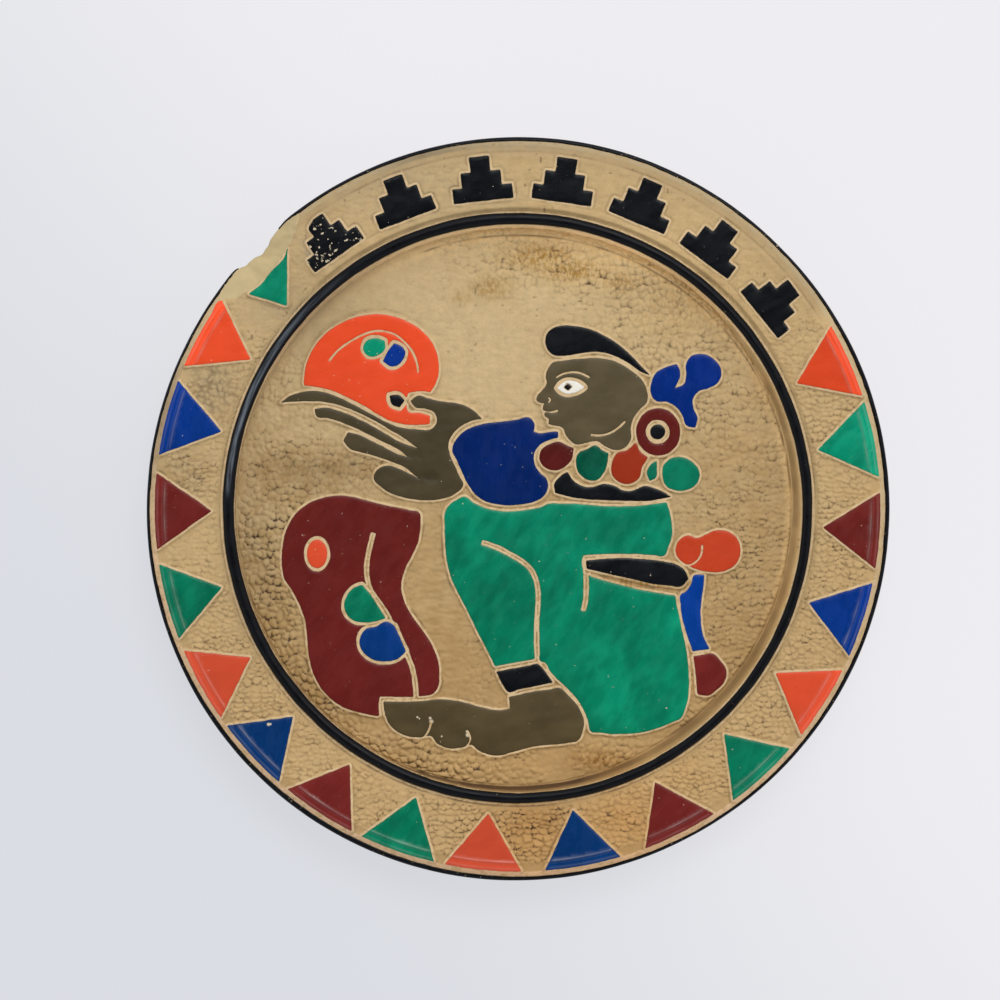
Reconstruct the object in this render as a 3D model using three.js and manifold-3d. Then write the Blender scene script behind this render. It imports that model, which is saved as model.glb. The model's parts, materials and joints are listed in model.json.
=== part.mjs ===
// A round pottery plate: a turned clay dish with a wide rim, a carved and slip-painted figure in the
// well, and a ring of painted triangles and stepped blocks on the rim.
// Millimetres, +Z up. The origin is the centre of the foot's resting face, and +Y points to the top
// of the picture.

import * as THREE from "three";
import { mergeVertices } from "three/addons/utils/BufferGeometryUtils.js";
import Module from "manifold-3d";

const wasm = await Module();
wasm.setup();

// Clay dish
const plateRadius = 154;
const rimWidth = 36.4; // from the plate's edge in to the mouth of the well
const wallRun = 2.8; // how far the well's wall leans in
const wallCornerRun = 0.5; // the soft corners at the wall's top and foot, across
const wallCornerRise = 1; // and upwards
const wellDepth = 8;
const floorThickness = 8;
const rimThickness = 7.5;
const lipWidth = 7; // the rim is level inside this and slopes down to the edge
const lipDrop = 1.1;
const baseInset = 7.6; // from the well's mouth in to the edge of the flat underside
const shoulderRun = 16; // sloping underside between the flat base and the rim

// Foot
const footHeight = 6;
const footInset = 18; // from the edge of the flat underside in to the foot
const footFaceWidth = 7;
const footTaper = 3; // how much wider the ring grows on each side where it meets the base
const footRounding = 1;
const hangingHoleRadius = 1.8;
const hangingHoleSpread = 26; // between the two hanging holes, along the ring
const hangingHoleHeight = 3.2;

// Relief and slip
const reliefDepth = 1.2; // how far the ground is carved below the painted surface
const islandRoot = 0.6; // how far the raised islands are sunk in the ground that carries them
const slipThickness = 0.4;
const creamLine = 1.3; // bare clay left standing round each painted field
const pupilLine = 0.35; // the narrower one round the pupil
const flareLine = 1.9; // and the wider one round the middle of the ear flare
const fineGroove = 0.85; // carved through the slip of the face, hands and feet
const foldGroove = 2.2; // between the folds and panels of the dress
const figureMargin = 2.4; // from the foot of the well's wall in to the nearest painted field
const beadGap = 0.7; // bare line between the well's mouth and the black bead
const bareLine = 0.8; // between the bead and the painted rim
const beadWidth = 4.9;
const beadHeight = 2.2;
const edgeBandAngle = 45; // the black edge covers the rounded edge this far above and below its middle

// Rim pattern
const triangleGap = 3.8; // from the bead to a triangle's point
const triangleMargin = 3.3; // from a triangle's base to the plate's edge
const triangleBaseWidth = 32;
const blockGap = 5.3; // from the bead to a stepped block
const blockWidth = 25;
const blockSteps = 3;
const blockPitch = 14.4;
const firstBlockAngle = 38.7;
const blockCount = 7;

// Chip in the edge, at the upper left
const chipAngle = 134.3;
const chipHalfLength = 35;
const chipReach = 13; // how far it bites in from the edge
const chipDepth = 9.3;
const chipOutset = 4; // the scoop's middle lies this far outside the edge
const chipLift = 1.5; // and this far above the rim

// Facets
const turnedSegments = 72;
const facetLength = 4.8; // along the curves of the figure
const roundFieldPoints = 20; // points round an oval field
const triangleBasePoints = 4;
const edgeBandSteps = 3;
const crownPoints = 3; // across the top of the bead
const holeSides = 12;
const chipSegments = 28;
const chipRings = 18;
const splitCorner = 1; // radians: a corner sharper than this is rounded when it is outlined
const keptShare = 0.97; // an outlined point this share of the margin away from the shape is kept
const cutOverrun = 1; // how far a cut runs past the faces it opens

// Levels and radii that follow from the sizes
const baseLevel = footHeight;
const floorLevel = baseLevel + floorThickness;
const rimLevel = floorLevel + wellDepth;
const wellRadius = plateRadius - rimWidth;
const floorRadius = wellRadius - wallRun;
const baseRadius = wellRadius - baseInset;
const footRadius = baseRadius - footInset;
const lipCreaseRadius = plateRadius - lipWidth;
const edgeRadius = (rimThickness - lipDrop) / 2;
const edgeCentreRadius = plateRadius - slipThickness - edgeRadius;
const edgeCentreLevel = rimLevel - rimThickness + edgeRadius;
const beadInnerRadius = wellRadius + beadGap;
const beadOuterRadius = beadInnerRadius + beadWidth;
const triangleApexRadius = beadOuterRadius + triangleGap;
const triangleBaseRadius = plateRadius - triangleMargin;
const blockInnerRadius = beadOuterRadius + blockGap;
const blockOuterRadius = lipCreaseRadius;

const slips = {
  clay: { color: 0xc4a574, roughness: 0.85 },
  orange: { color: 0xdb4f2e, roughness: 0.4 },
  green: { color: 0x12805f, roughness: 0.4 },
  blue: { color: 0x0a3478, roughness: 0.38 },
  maroon: { color: 0x6a2420, roughness: 0.4 },
  black: { color: 0x17191d, roughness: 0.35 },
  olive: { color: 0x564b35, roughness: 0.4 },
  white: { color: 0xe8e4da, roughness: 0.45 },
};

// Each painted field of the figure is a closed outline of strokes, drawn from the centre of the well and
// then scaled to fill its floor. On this plate a unit of the drawing is a millimetre.
// A stroke is one smooth curve through its points, and a corner lies where two strokes meet.
// "inlaid" names the fields set into this one, and "lines" are grooves cut through its slip.
const fields = {
  creature_head: {
    slip: "orange",
    strokes: [
      [[-89, 51.5], [-88.3, 59], [-85.5, 66], [-80.5, 72.3], [-74, 77], [-66, 80.1], [-57, 81], [-48, 78.8],
        [-40.5, 74.6], [-35, 68.3], [-32.7, 60], [-33.8, 53.2], [-36.3, 48.4]],
      [[-36.3, 48.4], [-41, 49.1], [-45.8, 47.8]],
      [[-45.8, 47.8], [-46.4, 44.6], [-45.6, 40.6]],
      [[-45.6, 40.6], [-41, 39.9], [-36.8, 38.9], [-35.2, 37], [-36.8, 35.3], [-43, 34.9], [-50, 35.6],
        [-56, 38], [-63, 42.3], [-70, 46], [-79, 49.8], [-89, 51.5]],
    ],
    inlaid: ["creature_eye", "creature_pupil", "creature_mouth"],
    lines: [{ width: fineGroove, points: [[-78.5, 61.5], [-74.5, 66.2], [-68, 70.6], [-60, 73.9], [-52, 73],
      [-46, 68.2], [-42.6, 62.8], [-41.3, 56.5]] }],
  },
  creature_eye: {
    slip: "green",
    strokes: [[[-64.3, 66.4], [-62.6, 70.2], [-58.6, 71], [-54.8, 69.4], [-56, 65.4], [-60, 63.4],
      [-63.6, 64.2], [-64.3, 66.4]]],
  },
  creature_pupil: {
    slip: "blue",
    strokes: [
      [[-51.4, 69], [-48.6, 67.8], [-46.8, 65.6]],
      [[-46.8, 65.6], [-48, 61.6], [-51.6, 59.1], [-56.2, 61.4]],
      [[-56.2, 61.4], [-54, 65.6], [-51.4, 69]],
    ],
  },
  creature_mouth: {
    slip: "black",
    strokes: [[[-53.4, 47.2], [-48, 47.1], [-47, 44.4], [-49.8, 41.8], [-52.6, 43.8], [-53.4, 47.2]]],
  },
  reaching_hand: {
    slip: "olive",
    strokes: [
      [[-98.6, 44.2], [-94, 47.3], [-86, 49], [-78, 47.8], [-70, 44.2], [-62, 40], [-55, 36.2], [-49, 33.9],
        [-42, 33], [-36.2, 33]],
      [[-36.2, 33], [-33.9, 35.2], [-33.8, 38.8], [-36.4, 41.2], [-41, 41.9], [-44.2, 42.8], [-44.6, 45],
        [-42.6, 46.8], [-39.6, 46.9], [-35.8, 45.5], [-30, 44.5], [-23, 43.3], [-18, 40.6], [-14.8, 37.4]],
      [[-14.8, 37.4], [-19.8, 36.4], [-25.4, 32.8], [-28.6, 28], [-28.4, 23.4], [-25.8, 17], [-22.6, 10]],
      [[-22.6, 10], [-27, 5.5], [-36, 3.6], [-46, 4.4], [-55, 7.6], [-60, 12.6]],
      [[-60, 12.6], [-58, 16.6], [-54, 18], [-48, 16], [-41, 12.4]],
      [[-41, 12.4], [-47.6, 17.6], [-54, 20], [-60, 22.2], [-66, 23.6], [-70.4, 25.4], [-72.8, 29],
        [-70.4, 32], [-64, 29.8], [-56, 25.8], [-50, 22.8], [-45.6, 21.4]],
      [[-45.6, 21.4], [-49.6, 24.6], [-57, 28.4], [-65, 32.4], [-74.4, 36.4], [-80, 38], [-85, 38.8],
        [-84.6, 41.6], [-80, 42.1], [-72, 39.8], [-64, 36.3], [-56, 31.8], [-49, 27.8], [-41.6, 25.2]],
      [[-41.6, 25.2], [-47, 29.2], [-54.6, 33.8], [-63, 38.4], [-72, 42.4], [-80, 44.4], [-89, 44.8],
        [-98.6, 44.2]],
    ],
  },
  sleeve: {
    slip: "blue",
    strokes: [
      [[-27.2, 24.6], [-25.4, 29.2], [-21, 33], [-14.6, 35.2], [-5, 36.4], [4.8, 38]],
      [[4.8, 38], [6.9, 36.4], [6.6, 32]],
      [[6.6, 32], [11, 31.4], [15.6, 32.6], [18, 31.2], [17, 29.6]],
      [[17, 29.6], [12, 28.2], [8, 25], [6.6, 20.6], [8.4, 16.2], [12, 12.4]],
      [[12, 12.4], [12.2, 7], [7, 3], [-4, 1.4], [-14, 3.4], [-20, 9], [-24, 17], [-27.2, 24.6]],
    ],
  },
  face: {
    slip: "olive",
    strokes: [
      [[14.8, 61], [12.4, 58], [11.7, 55], [12.4, 52.6], [10.4, 49.6], [8.2, 46.8]],
      [[8.2, 46.8], [7.6, 45.4], [8.9, 44.4], [11.4, 44]],
      [[11.4, 44], [10.6, 42.4], [10.4, 41.2], [12, 40.5]],
      [[12, 40.5], [11, 39.6], [11.4, 38.5], [12.9, 37.7]],
      [[12.9, 37.7], [12, 36.4], [13, 35.1], [16, 34.6], [19.6, 33], [20.2, 30], [24.4, 26.8]],
      [[24.4, 26.8], [28.6, 27.4], [32.8, 28.2], [37, 25.8], [41, 24.4], [45.6, 26], [47.3, 29.6],
        [47.2, 34], [48.6, 38.4], [51.6, 42.2], [54, 44.6]],
      [[54, 44.6], [54.1, 48], [52.6, 52.4], [48, 57], [42, 60.7], [35, 62.6], [26, 62.4], [14.8, 61]],
    ],
    inlaid: ["eye"],
    lines: [
      { width: fineGroove, points: [[45, 36.5], [40.6, 32.6], [35.6, 30.6], [30.4, 30.8]] },
      { width: fineGroove, points: [[11.6, 40.5], [14.4, 40.2], [17, 40.9]] },
      { width: fineGroove, points: [[16, 54.6], [20.4, 56.6], [25.6, 56.6], [30, 54.6]] },
      { width: fineGroove, points: [[12.8, 46.4], [13.8, 45.2], [12.9, 44.2]] },
    ],
  },
  eye: {
    slip: "white",
    strokes: [
      [[16.4, 50.2], [19.4, 52.9], [23.4, 53.3], [28, 50.6]],
      [[28, 50.6], [23.6, 48.1], [19.6, 48], [16.4, 50.2]],
    ],
    inlaid: ["pupil"],
    inlayLine: pupilLine,
  },
  pupil: {
    slip: "black",
    strokes: [[[19.2, 50.6], [20.9, 52.2], [22.7, 50.7], [21, 49.1], [19.2, 50.6]]],
  },
  hair_roll: {
    slip: "black",
    strokes: [
      [[55.1, 55.6], [50, 61], [44, 66.8], [37, 71.6], [30, 74.8], [22, 76.3], [15.6, 75.6], [11.9, 72],
        [12, 67.4], [15.4, 63.9], [22, 64], [30, 65.2], [37, 64.8], [44, 62], [50.4, 57.6], [55.1, 55.6]],
    ],
  },
  headdress_knot: {
    slip: "blue",
    strokes: [
      [[66.4, 60.3], [61, 58.7], [57.2, 56], [55.4, 51], [56, 46.6], [57.6, 44.9]],
      [[57.6, 44.9], [62, 44.5], [65.6, 42.7], [68.6, 38.8], [70.4, 34.6]],
      [[70.4, 34.6], [72.6, 33.2], [74.8, 34.6], [74.9, 38], [73.3, 41.6], [73, 45.6], [75, 48.6],
        [80, 50.4], [84, 53], [84.9, 57.2], [82.4, 61.8], [77.6, 64.3], [73, 63.8], [70.2, 60.4]],
      [[70.2, 60.4], [70.1, 55], [68.8, 51.2], [65.4, 50.2]],
      [[65.4, 50.2], [65.4, 51.6], [67.2, 53], [67.7, 57], [66.4, 60.3]],
    ],
  },
  ear_flare: {
    slip: "maroon",
    ellipse: { centre: [58.6, 32], radii: [9.2, 9.9] },
    inlaid: ["ear_flare_centre"],
    inlayLine: flareLine,
  },
  ear_flare_centre: {
    slip: "black",
    ellipse: { centre: [58.4, 32], radii: [3.1, 3.1] },
  },
  bead_maroon: {
    slip: "maroon",
    strokes: [
      [[23.4, 25.2], [22.6, 20.8], [19.4, 17.2], [14.2, 16], [9.8, 18.8], [9.2, 23.4], [12.6, 26.6],
        [17.6, 27.9]],
      [[17.6, 27.9], [20.4, 26.4], [23.4, 25.2]],
    ],
  },
  bead_green: {
    slip: "green",
    strokes: [
      [[32.8, 26.4], [29.2, 24.9], [25.6, 23.6], [24.4, 19], [25.6, 14.8], [30, 11.8], [34.6, 12.8],
        [37.2, 18.4], [38, 23.2]],
      [[38, 23.2], [35.2, 24.4], [32.8, 26.4]],
    ],
  },
  bead_orange: {
    slip: "orange",
    strokes: [
      [[49.2, 27.6], [45.6, 24.4], [40.9, 22.8], [39.1, 18], [40, 12.8], [45.6, 10.2], [50.6, 12.8],
        [52, 17.6], [54.3, 21.4]],
      [[54.3, 21.4], [51, 24], [49.2, 27.6]],
    ],
  },
  bead_small: {
    slip: "green",
    strokes: [[[58, 20.2], [55.4, 18.4], [53.8, 15], [54.8, 11.6], [57.2, 11.8], [58, 15.4], [58, 20.2]]],
  },
  bead_large: {
    slip: "green",
    strokes: [[[60.4, 14], [60.6, 17.6], [62.8, 20.2], [66.8, 21.7], [71.4, 20.4], [75.2, 16.8], [75.8, 12],
      [71.6, 8.2], [65.6, 7.6], [61.4, 10], [60.4, 14]]],
  },
  collar: {
    slip: "black",
    strokes: [
      [[20.7, 15.4], [23, 12], [27.6, 9.2], [33.4, 9.3], [38, 10.7], [43, 7.8], [48.6, 7.7], [53, 9.5]],
      [[53, 9.5], [58.6, 8], [64, 5]],
      [[64, 5], [54, 3.2], [40, 3.4], [26, 4.2], [15.6, 6.6]],
      [[15.6, 6.6], [15.4, 11], [18, 13.6], [20.7, 15.4]],
    ],
  },
  cloak: {
    slip: "maroon",
    strokes: [
      [[-98.3, -20], [-97.6, -28], [-93.4, -35], [-89.4, -43.4], [-87.8, -52], [-87, -61], [-84.6, -70],
        [-80, -77], [-73.6, -82.2], [-65, -85.2], [-57.6, -86.4]],
      [[-57.6, -86.4], [-57.9, -82.4], [-57.4, -78.2]],
      [[-57.4, -78.2], [-49, -78.4], [-41, -78.2], [-34.6, -76.8], [-32.8, -73.6]],
      [[-32.8, -73.6], [-32.8, -65], [-35.6, -57], [-40.4, -49.6], [-45.2, -42.8], [-48, -35.8],
        [-48.2, -29.6], [-46, -23.4], [-42.2, -16], [-40.4, -8], [-41, -1.6]],
      [[-41, -1.6], [-50, 0.4], [-60, 2.6], [-72, 5.4], [-84, 3.6], [-92.6, -2.4], [-97, -11], [-98.3, -20]],
    ],
    inlaid: ["cloak_disc", "cloak_green_lobe", "cloak_blue_lobe"],
    lines: [{ width: foldGroove, points: [[-42.2, -80], [-42.6, -73], [-44, -66], [-46.6, -59.4], [-50, -52],
      [-53.8, -44.8], [-58, -38.6], [-61.6, -33], [-62.9, -26], [-62.2, -19], [-60, -10]] }],
  },
  cloak_disc: {
    slip: "orange",
    ellipse: { centre: [-83.5, -18.8], radii: [4.2, 6] },
  },
  cloak_green_lobe: {
    slip: "green",
    strokes: [
      [[-64.8, -31.6], [-69.2, -33.8], [-72, -38.6], [-71.4, -43.6], [-67.2, -47], [-60.6, -47.2],
        [-54.9, -45.7]],
      [[-54.9, -45.7], [-58.4, -40], [-61.4, -35.6], [-64.8, -31.6]],
    ],
  },
  cloak_blue_lobe: {
    slip: "blue",
    strokes: [
      [[-46.4, -59.5], [-49.4, -62.2], [-54, -63.6], [-60, -62.9], [-64.6, -59.4], [-65.8, -54.6],
        [-63.6, -50.4], [-58.6, -49]],
      [[-58.6, -49], [-53.5, -46.7], [-50.2, -51.2], [-46.4, -59.5]],
    ],
  },
  robe: {
    slip: "green",
    strokes: [
      [[-30.4, -7], [-29.8, -20], [-27.2, -30], [-22.2, -40], [-16.2, -52], [-9.4, -65.6]],
      [[-9.4, -65.6], [7.4, -62.6]],
      [[7.4, -62.6], [10.6, -63.4], [14.2, -68.6], [20.4, -74.6], [26, -81], [29.2, -88], [30.4, -92.8]],
      [[30.4, -92.8], [40, -93.9], [51, -93.2], [60, -90.8], [67.8, -87.4]],
      [[67.8, -87.4], [70.6, -81], [71.4, -72], [70.6, -61], [68.4, -50], [66.2, -40], [65.6, -36.2]],
      [[65.6, -36.2], [54, -34.3], [42, -31.6], [30, -27.9]],
      [[30, -27.9], [27.2, -25.6], [26.8, -22], [27.4, -19.4]],
      [[27.4, -19.4], [44, -18.8], [61, -19.6]],
      [[61, -19.6], [64.2, -12], [64, -4], [62, 2.6]],
      [[62, 2.6], [50, 1.2], [38, 1], [24, 2], [13.4, 2.2]],
      [[13.4, 2.2], [8, 0.2], [-4, -1.2], [-15, 0.8], [-22, 5]],
      [[-22, 5], [-27, 2.6], [-30.2, -1], [-30.4, -7]],
    ],
    lines: [
      { width: foldGroove, points: [[8.4, -64.6], [8, -56], [8, -47], [8.6, -38], [7.9, -30.6], [4.8, -24.4],
        [-1, -20.2], [-8, -16.4], [-15, -14]] },
      { width: foldGroove, points: [[28.4, -25], [28.6, -31], [28.5, -37], [27.4, -42.6]] },
    ],
  },
  belt: {
    slip: "black",
    strokes: [
      [[28.7, -25], [28.4, -21.6]],
      [[28.4, -21.6], [38, -20.7], [48, -20.7], [58, -21.6], [66, -23.2], [70.8, -26.8], [71, -30.2],
        [68, -32.4]],
      [[68, -32.4], [58, -31.6], [48, -29.4], [38, -27.2], [28.7, -25]],
    ],
  },
  sash: {
    slip: "blue",
    strokes: [
      [[73.3, -28], [77.6, -27.4], [77.6, -31], [76.8, -37], [76.2, -45], [77.4, -53], [80, -58.5]],
      [[80, -58.5], [73, -59.4]],
      [[73, -59.4], [70, -51], [68.2, -43], [67.9, -36]],
      [[67.9, -36], [71.6, -33], [73.3, -28]],
    ],
  },
  sash_end: {
    slip: "maroon",
    strokes: [
      [[73.2, -61.4], [81, -60.3]],
      [[81, -60.3], [84.8, -63.8], [87.2, -68.6], [85, -73.6], [79.6, -77.8], [74.9, -77.2]],
      [[74.9, -77.2], [74.2, -69.6], [73.2, -61.4]],
    ],
  },
  sash_knot: {
    slip: "orange",
    strokes: [[[65.8, -18], [67.4, -21.2], [71, -23.6], [75.6, -25.6], [84, -26.4], [90, -24], [92.8, -18.6],
      [91.4, -12.4], [86.2, -9], [80, -9.8], [76.4, -12.4], [70.6, -11.2], [66.8, -13.8], [65.8, -18]]],
    lines: [{ width: fineGroove, points: [[77, -15], [76.4, -19.4], [74, -22.4], [69.6, -24.2]] }],
  },
  black_anklet: {
    slip: "black",
    strokes: [
      [[-9, -67.9], [8.4, -64.7]],
      [[8.4, -64.7], [11, -67], [14.7, -72.4]],
      [[14.7, -72.4], [-4, -76.3]],
      [[-4, -76.3], [-6.6, -72.6], [-9, -67.9]],
    ],
  },
  foot_of_figure: {
    slip: "olive",
    strokes: [
      [[-55.9, -80.3], [-48, -80.4], [-40, -80.2], [-32, -79.4], [-24, -80.3], [-14, -83], [-8, -84],
        [-3, -83.4]],
      [[-3, -83.4], [-3.7, -78.4]],
      [[-3.7, -78.4], [7, -76.2], [17.6, -74.8]],
      [[17.6, -74.8], [22.4, -78.8], [26.4, -84.6], [27.8, -90.6], [25.2, -96.6]],
      [[25.2, -96.6], [18, -98], [9, -98.7], [0, -100.8], [-8, -102.9], [-15, -101.4], [-19.8, -98.4]],
      [[-19.8, -98.4], [-27, -100], [-33, -98.2], [-36.6, -94.6]],
      [[-36.6, -94.6], [-44, -95.2], [-51, -92.2], [-54.8, -87], [-55.9, -80.3]],
    ],
    lines: [
      { width: fineGroove, points: [[-39.6, -96], [-37.2, -92.8], [-35.8, -88.4]] },
      { width: fineGroove, points: [[-21.4, -99.6], [-19.6, -95.6], [-21, -92.2]] },
    ],
  },
};

// The drawing reaches from the centre to its furthest point, and is scaled to keep its margin there.
const drawnPoints = Object.values(fields).flatMap(({ strokes = [] }) => strokes.flat());
const drawnReach = Math.max(...drawnPoints.map(([x, y]) => Math.hypot(x, y)));
const drawingScale = (floorRadius - figureMargin) / drawnReach;

// Triangles stand round the rim by hand, a little unevenly, and their colours repeat in fours.
const triangleAngles = [24.2, 11.1, -3.5, -17.9, -32.5, -47.5, -63.3, -79.6, -95.5, -109.4, -123.3, -137.2,
  -150.9, -165.1, -179.6, -194.6, -209.2, -222.3];
const triangleColours = ["orange", "green", "maroon", "blue"];

const plate = new THREE.Group();

function solidOf(geometry) {
  const bare = geometry.clone();
  bare.deleteAttribute("normal");
  bare.deleteAttribute("uv");
  const merged = mergeVertices(bare);
  const corners = merged.index.array;
  const triangles = [];
  for (let i = 0; i < corners.length; i += 3) {
    const [a, b, c] = corners.slice(i, i + 3);
    if (a !== b && b !== c && c !== a) triangles.push(a, b, c);
  }
  return new wasm.Manifold(new wasm.Mesh({
    numProp: 3,
    vertProperties: new Float32Array(merged.attributes.position.array),
    triVerts: new Uint32Array(triangles),
  }));
}

function addPiece(name, slip, solid) {
  const mesh = solid.getMesh();
  const geometry = new THREE.BufferGeometry();
  geometry.setAttribute("position", new THREE.BufferAttribute(mesh.vertProperties, 3));
  geometry.setIndex(new THREE.BufferAttribute(mesh.triVerts, 1));
  geometry.computeVertexNormals();
  const material = new THREE.MeshStandardMaterial({ ...slips[slip], metalness: 0 });
  const piece = new THREE.Mesh(geometry, material);
  piece.name = name;
  plate.add(piece);
}

// A profile of [radius, level] points, from the bottom up on the outside, turned about the Z axis
function turned(profile) {
  const points = profile.map(([radius, level]) => new THREE.Vector2(radius, level));
  const geometry = new THREE.LatheGeometry(points, turnedSegments);
  geometry.rotateX(Math.PI / 2);
  return solidOf(geometry);
}

// A ring's closed profile, which comes back to its first point
function turnedRing(profile) {
  return turned([...profile, profile[0]]);
}

// A flat shape made solid between two levels: it is drawn out by 1 and each end is then set exactly
function slab(shape, bottom, top) {
  const geometry = new THREE.ExtrudeGeometry(shape, { depth: 1, bevelEnabled: false });
  const position = geometry.attributes.position;
  for (let i = 0; i < position.count; i += 1) {
    position.setZ(i, position.getZ(i) > 0.5 ? top : bottom);
  }
  return solidOf(geometry);
}

// The outline of a field of the figure
function fieldShape(field) {
  if (field.ellipse) {
    const [x, y] = field.ellipse.centre.map((size) => size * drawingScale);
    const [rx, ry] = field.ellipse.radii.map((size) => size * drawingScale);
    const oval = new THREE.EllipseCurve(x, y, rx, ry);
    return new THREE.Shape(oval.getPoints(roundFieldPoints).slice(0, -1));
  }
  return new THREE.Shape(field.strokes.flatMap((stroke) => strokePoints(stroke).slice(1)));
}

// A stroke's smooth curve, as points at even steps
function strokePoints(stroke) {
  const curve = new THREE.SplineCurve(stroke.map(drawnPoint));
  return curve.getSpacedPoints(Math.max(Math.ceil(curve.getLength() / facetLength), stroke.length - 1));
}

function drawnPoint([x, y]) {
  return new THREE.Vector2(x, y).multiplyScalar(drawingScale);
}

// The points of a shape, once round, against the clock
function pointsOf(shape) {
  const { shape: points } = shape.extractPoints();
  return THREE.ShapeUtils.area(points) > 0 ? points : points.reverse();
}

function distanceToOutline(point, outline) {
  const side = new THREE.Line3();
  const at = new THREE.Vector3(point.x, point.y, 0);
  const nearest = new THREE.Vector3();
  return Math.min(...outline.map((corner, i) => {
    const previous = outline.at(i - 1);
    side.start.set(previous.x, previous.y, 0);
    side.end.set(corner.x, corner.y, 0);
    return side.closestPointToPoint(at, true, nearest).distanceTo(at);
  }));
}

// The same shape grown by a margin all round, with its sharp corners rounded
function grown(shape, margin) {
  const outline = pointsOf(shape);
  const moved = [];
  outline.forEach((corner, i) => {
    const before = corner.clone().sub(outline.at(i - 1)).angle();
    const after = outline[(i + 1) % outline.length].clone().sub(corner).angle();
    const turn = Math.atan2(Math.sin(after - before), Math.cos(after - before));
    const steps = turn > splitCorner ? Math.ceil(turn / splitCorner) : 0;
    const reach = steps ? margin : margin / Math.cos(turn / 2);
    for (let step = 0; step <= steps; step += 1) {
      const outward = before - Math.PI / 2 + (steps ? (turn * step) / steps : turn / 2);
      moved.push(new THREE.Vector2(Math.cos(outward), Math.sin(outward)).multiplyScalar(reach).add(corner));
    }
  });
  const clear = moved.filter((point) => distanceToOutline(point, outline) > margin * keptShare);
  return new THREE.Shape(clear);
}

// A band of one width along a curve, with square ends
function grooveShape({ points, width }) {
  const middle = strokePoints(points);
  const side = (reach) => middle.map((point, i) => {
    const along = (middle[i + 1] ?? point).clone().sub(middle[i - 1] ?? point).normalize();
    return new THREE.Vector2(-along.y, along.x).multiplyScalar(reach).add(point);
  });
  return new THREE.Shape([...side(-width / 2), ...side(width / 2).reverse()]);
}

// Points on the rounded outer edge, by angle above its middle
function edgeArc(radius, fromDegrees, toDegrees, steps) {
  return Array.from({ length: steps + 1 }, (_, i) => {
    const angle = THREE.MathUtils.degToRad(fromDegrees + ((toDegrees - fromDegrees) * i) / steps);
    return [edgeCentreRadius + radius * Math.cos(angle), edgeCentreLevel + radius * Math.sin(angle)];
  });
}

function lipLevelAt(radius) {
  return rimLevel - (lipDrop * (radius - lipCreaseRadius)) / (edgeCentreRadius - lipCreaseRadius);
}

// A layer that follows the rim and its lip between two heights above the carved ground
function rimLayer(bottom, top) {
  const inner = beadOuterRadius + bareLine;
  const outer = triangleBaseRadius + 2 * creamLine;
  return turnedRing([
    [inner, rimLevel + bottom],
    [lipCreaseRadius, rimLevel + bottom],
    [outer, lipLevelAt(outer) + bottom],
    [outer, lipLevelAt(outer) + top],
    [lipCreaseRadius, rimLevel + top],
    [inner, rimLevel + top],
  ]);
}

// A column through the rim, to be cut by one of its layers
function rimColumn(shape) {
  return slab(shape, rimLevel - rimThickness, rimLevel + rimThickness);
}

function triangleShape(degrees) {
  const middle = THREE.MathUtils.degToRad(degrees);
  const radius = triangleBaseRadius;
  const half = triangleBaseWidth / radius / 2;
  const base = new THREE.EllipseCurve(0, 0, radius, radius, middle - half, middle + half);
  const apex = new THREE.Vector2(triangleApexRadius, 0).rotateAround(new THREE.Vector2(), middle);
  return new THREE.Shape([apex, ...base.getPoints(triangleBasePoints)]);
}

// A stepped block that stands on the bead's side and narrows towards the edge of the plate
function blockShape(degrees) {
  const middle = THREE.MathUtils.degToRad(degrees);
  const rise = (blockOuterRadius - blockInnerRadius) / blockSteps;
  const tread = blockWidth / 2 / blockSteps;
  const right = [];
  for (let step = 0; step < blockSteps; step += 1) {
    const halfWidth = blockWidth / 2 - step * tread;
    const riser = blockInnerRadius + step * rise;
    right.push([halfWidth, riser], [halfWidth, riser + rise]);
  }
  const left = right.map(([across, radius]) => [-across, radius]).reverse();
  const origin = new THREE.Vector2();
  return new THREE.Shape([...right, ...left].map(([across, radius]) => (
    new THREE.Vector2(radius, -across).rotateAround(origin, middle)
  )));
}

// What the knock took off the edge: a shallow egg-shaped scoop
function chipSolid() {
  const geometry = new THREE.SphereGeometry(1, chipSegments, chipRings);
  const angle = THREE.MathUtils.degToRad(chipAngle);
  geometry.scale(chipReach + chipOutset, chipHalfLength, chipDepth);
  geometry.rotateZ(angle);
  const centreRadius = plateRadius + chipOutset;
  geometry.translate(centreRadius * Math.cos(angle), centreRadius * Math.sin(angle), rimLevel + chipLift);
  return solidOf(geometry);
}

// The plain turned dish, before the relief
function dishSolid() {
  const edge = [
    ...edgeArc(edgeRadius, -90, -edgeBandAngle, 1),
    ...edgeArc(edgeRadius, -edgeBandAngle, edgeBandAngle, edgeBandSteps).slice(1),
    ...edgeArc(edgeRadius, edgeBandAngle, 90, 1).slice(1),
  ];
  return turned([
    [0, baseLevel],
    [baseRadius, baseLevel],
    [baseRadius + shoulderRun, rimLevel - rimThickness],
    ...edge,
    [lipCreaseRadius, rimLevel],
    [wellRadius, rimLevel],
    [wellRadius - wallCornerRun, rimLevel - wallCornerRise],
    [floorRadius + wallCornerRun, floorLevel + wallCornerRise],
    [floorRadius, floorLevel],
    [0, floorLevel],
  ]);
}

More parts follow.
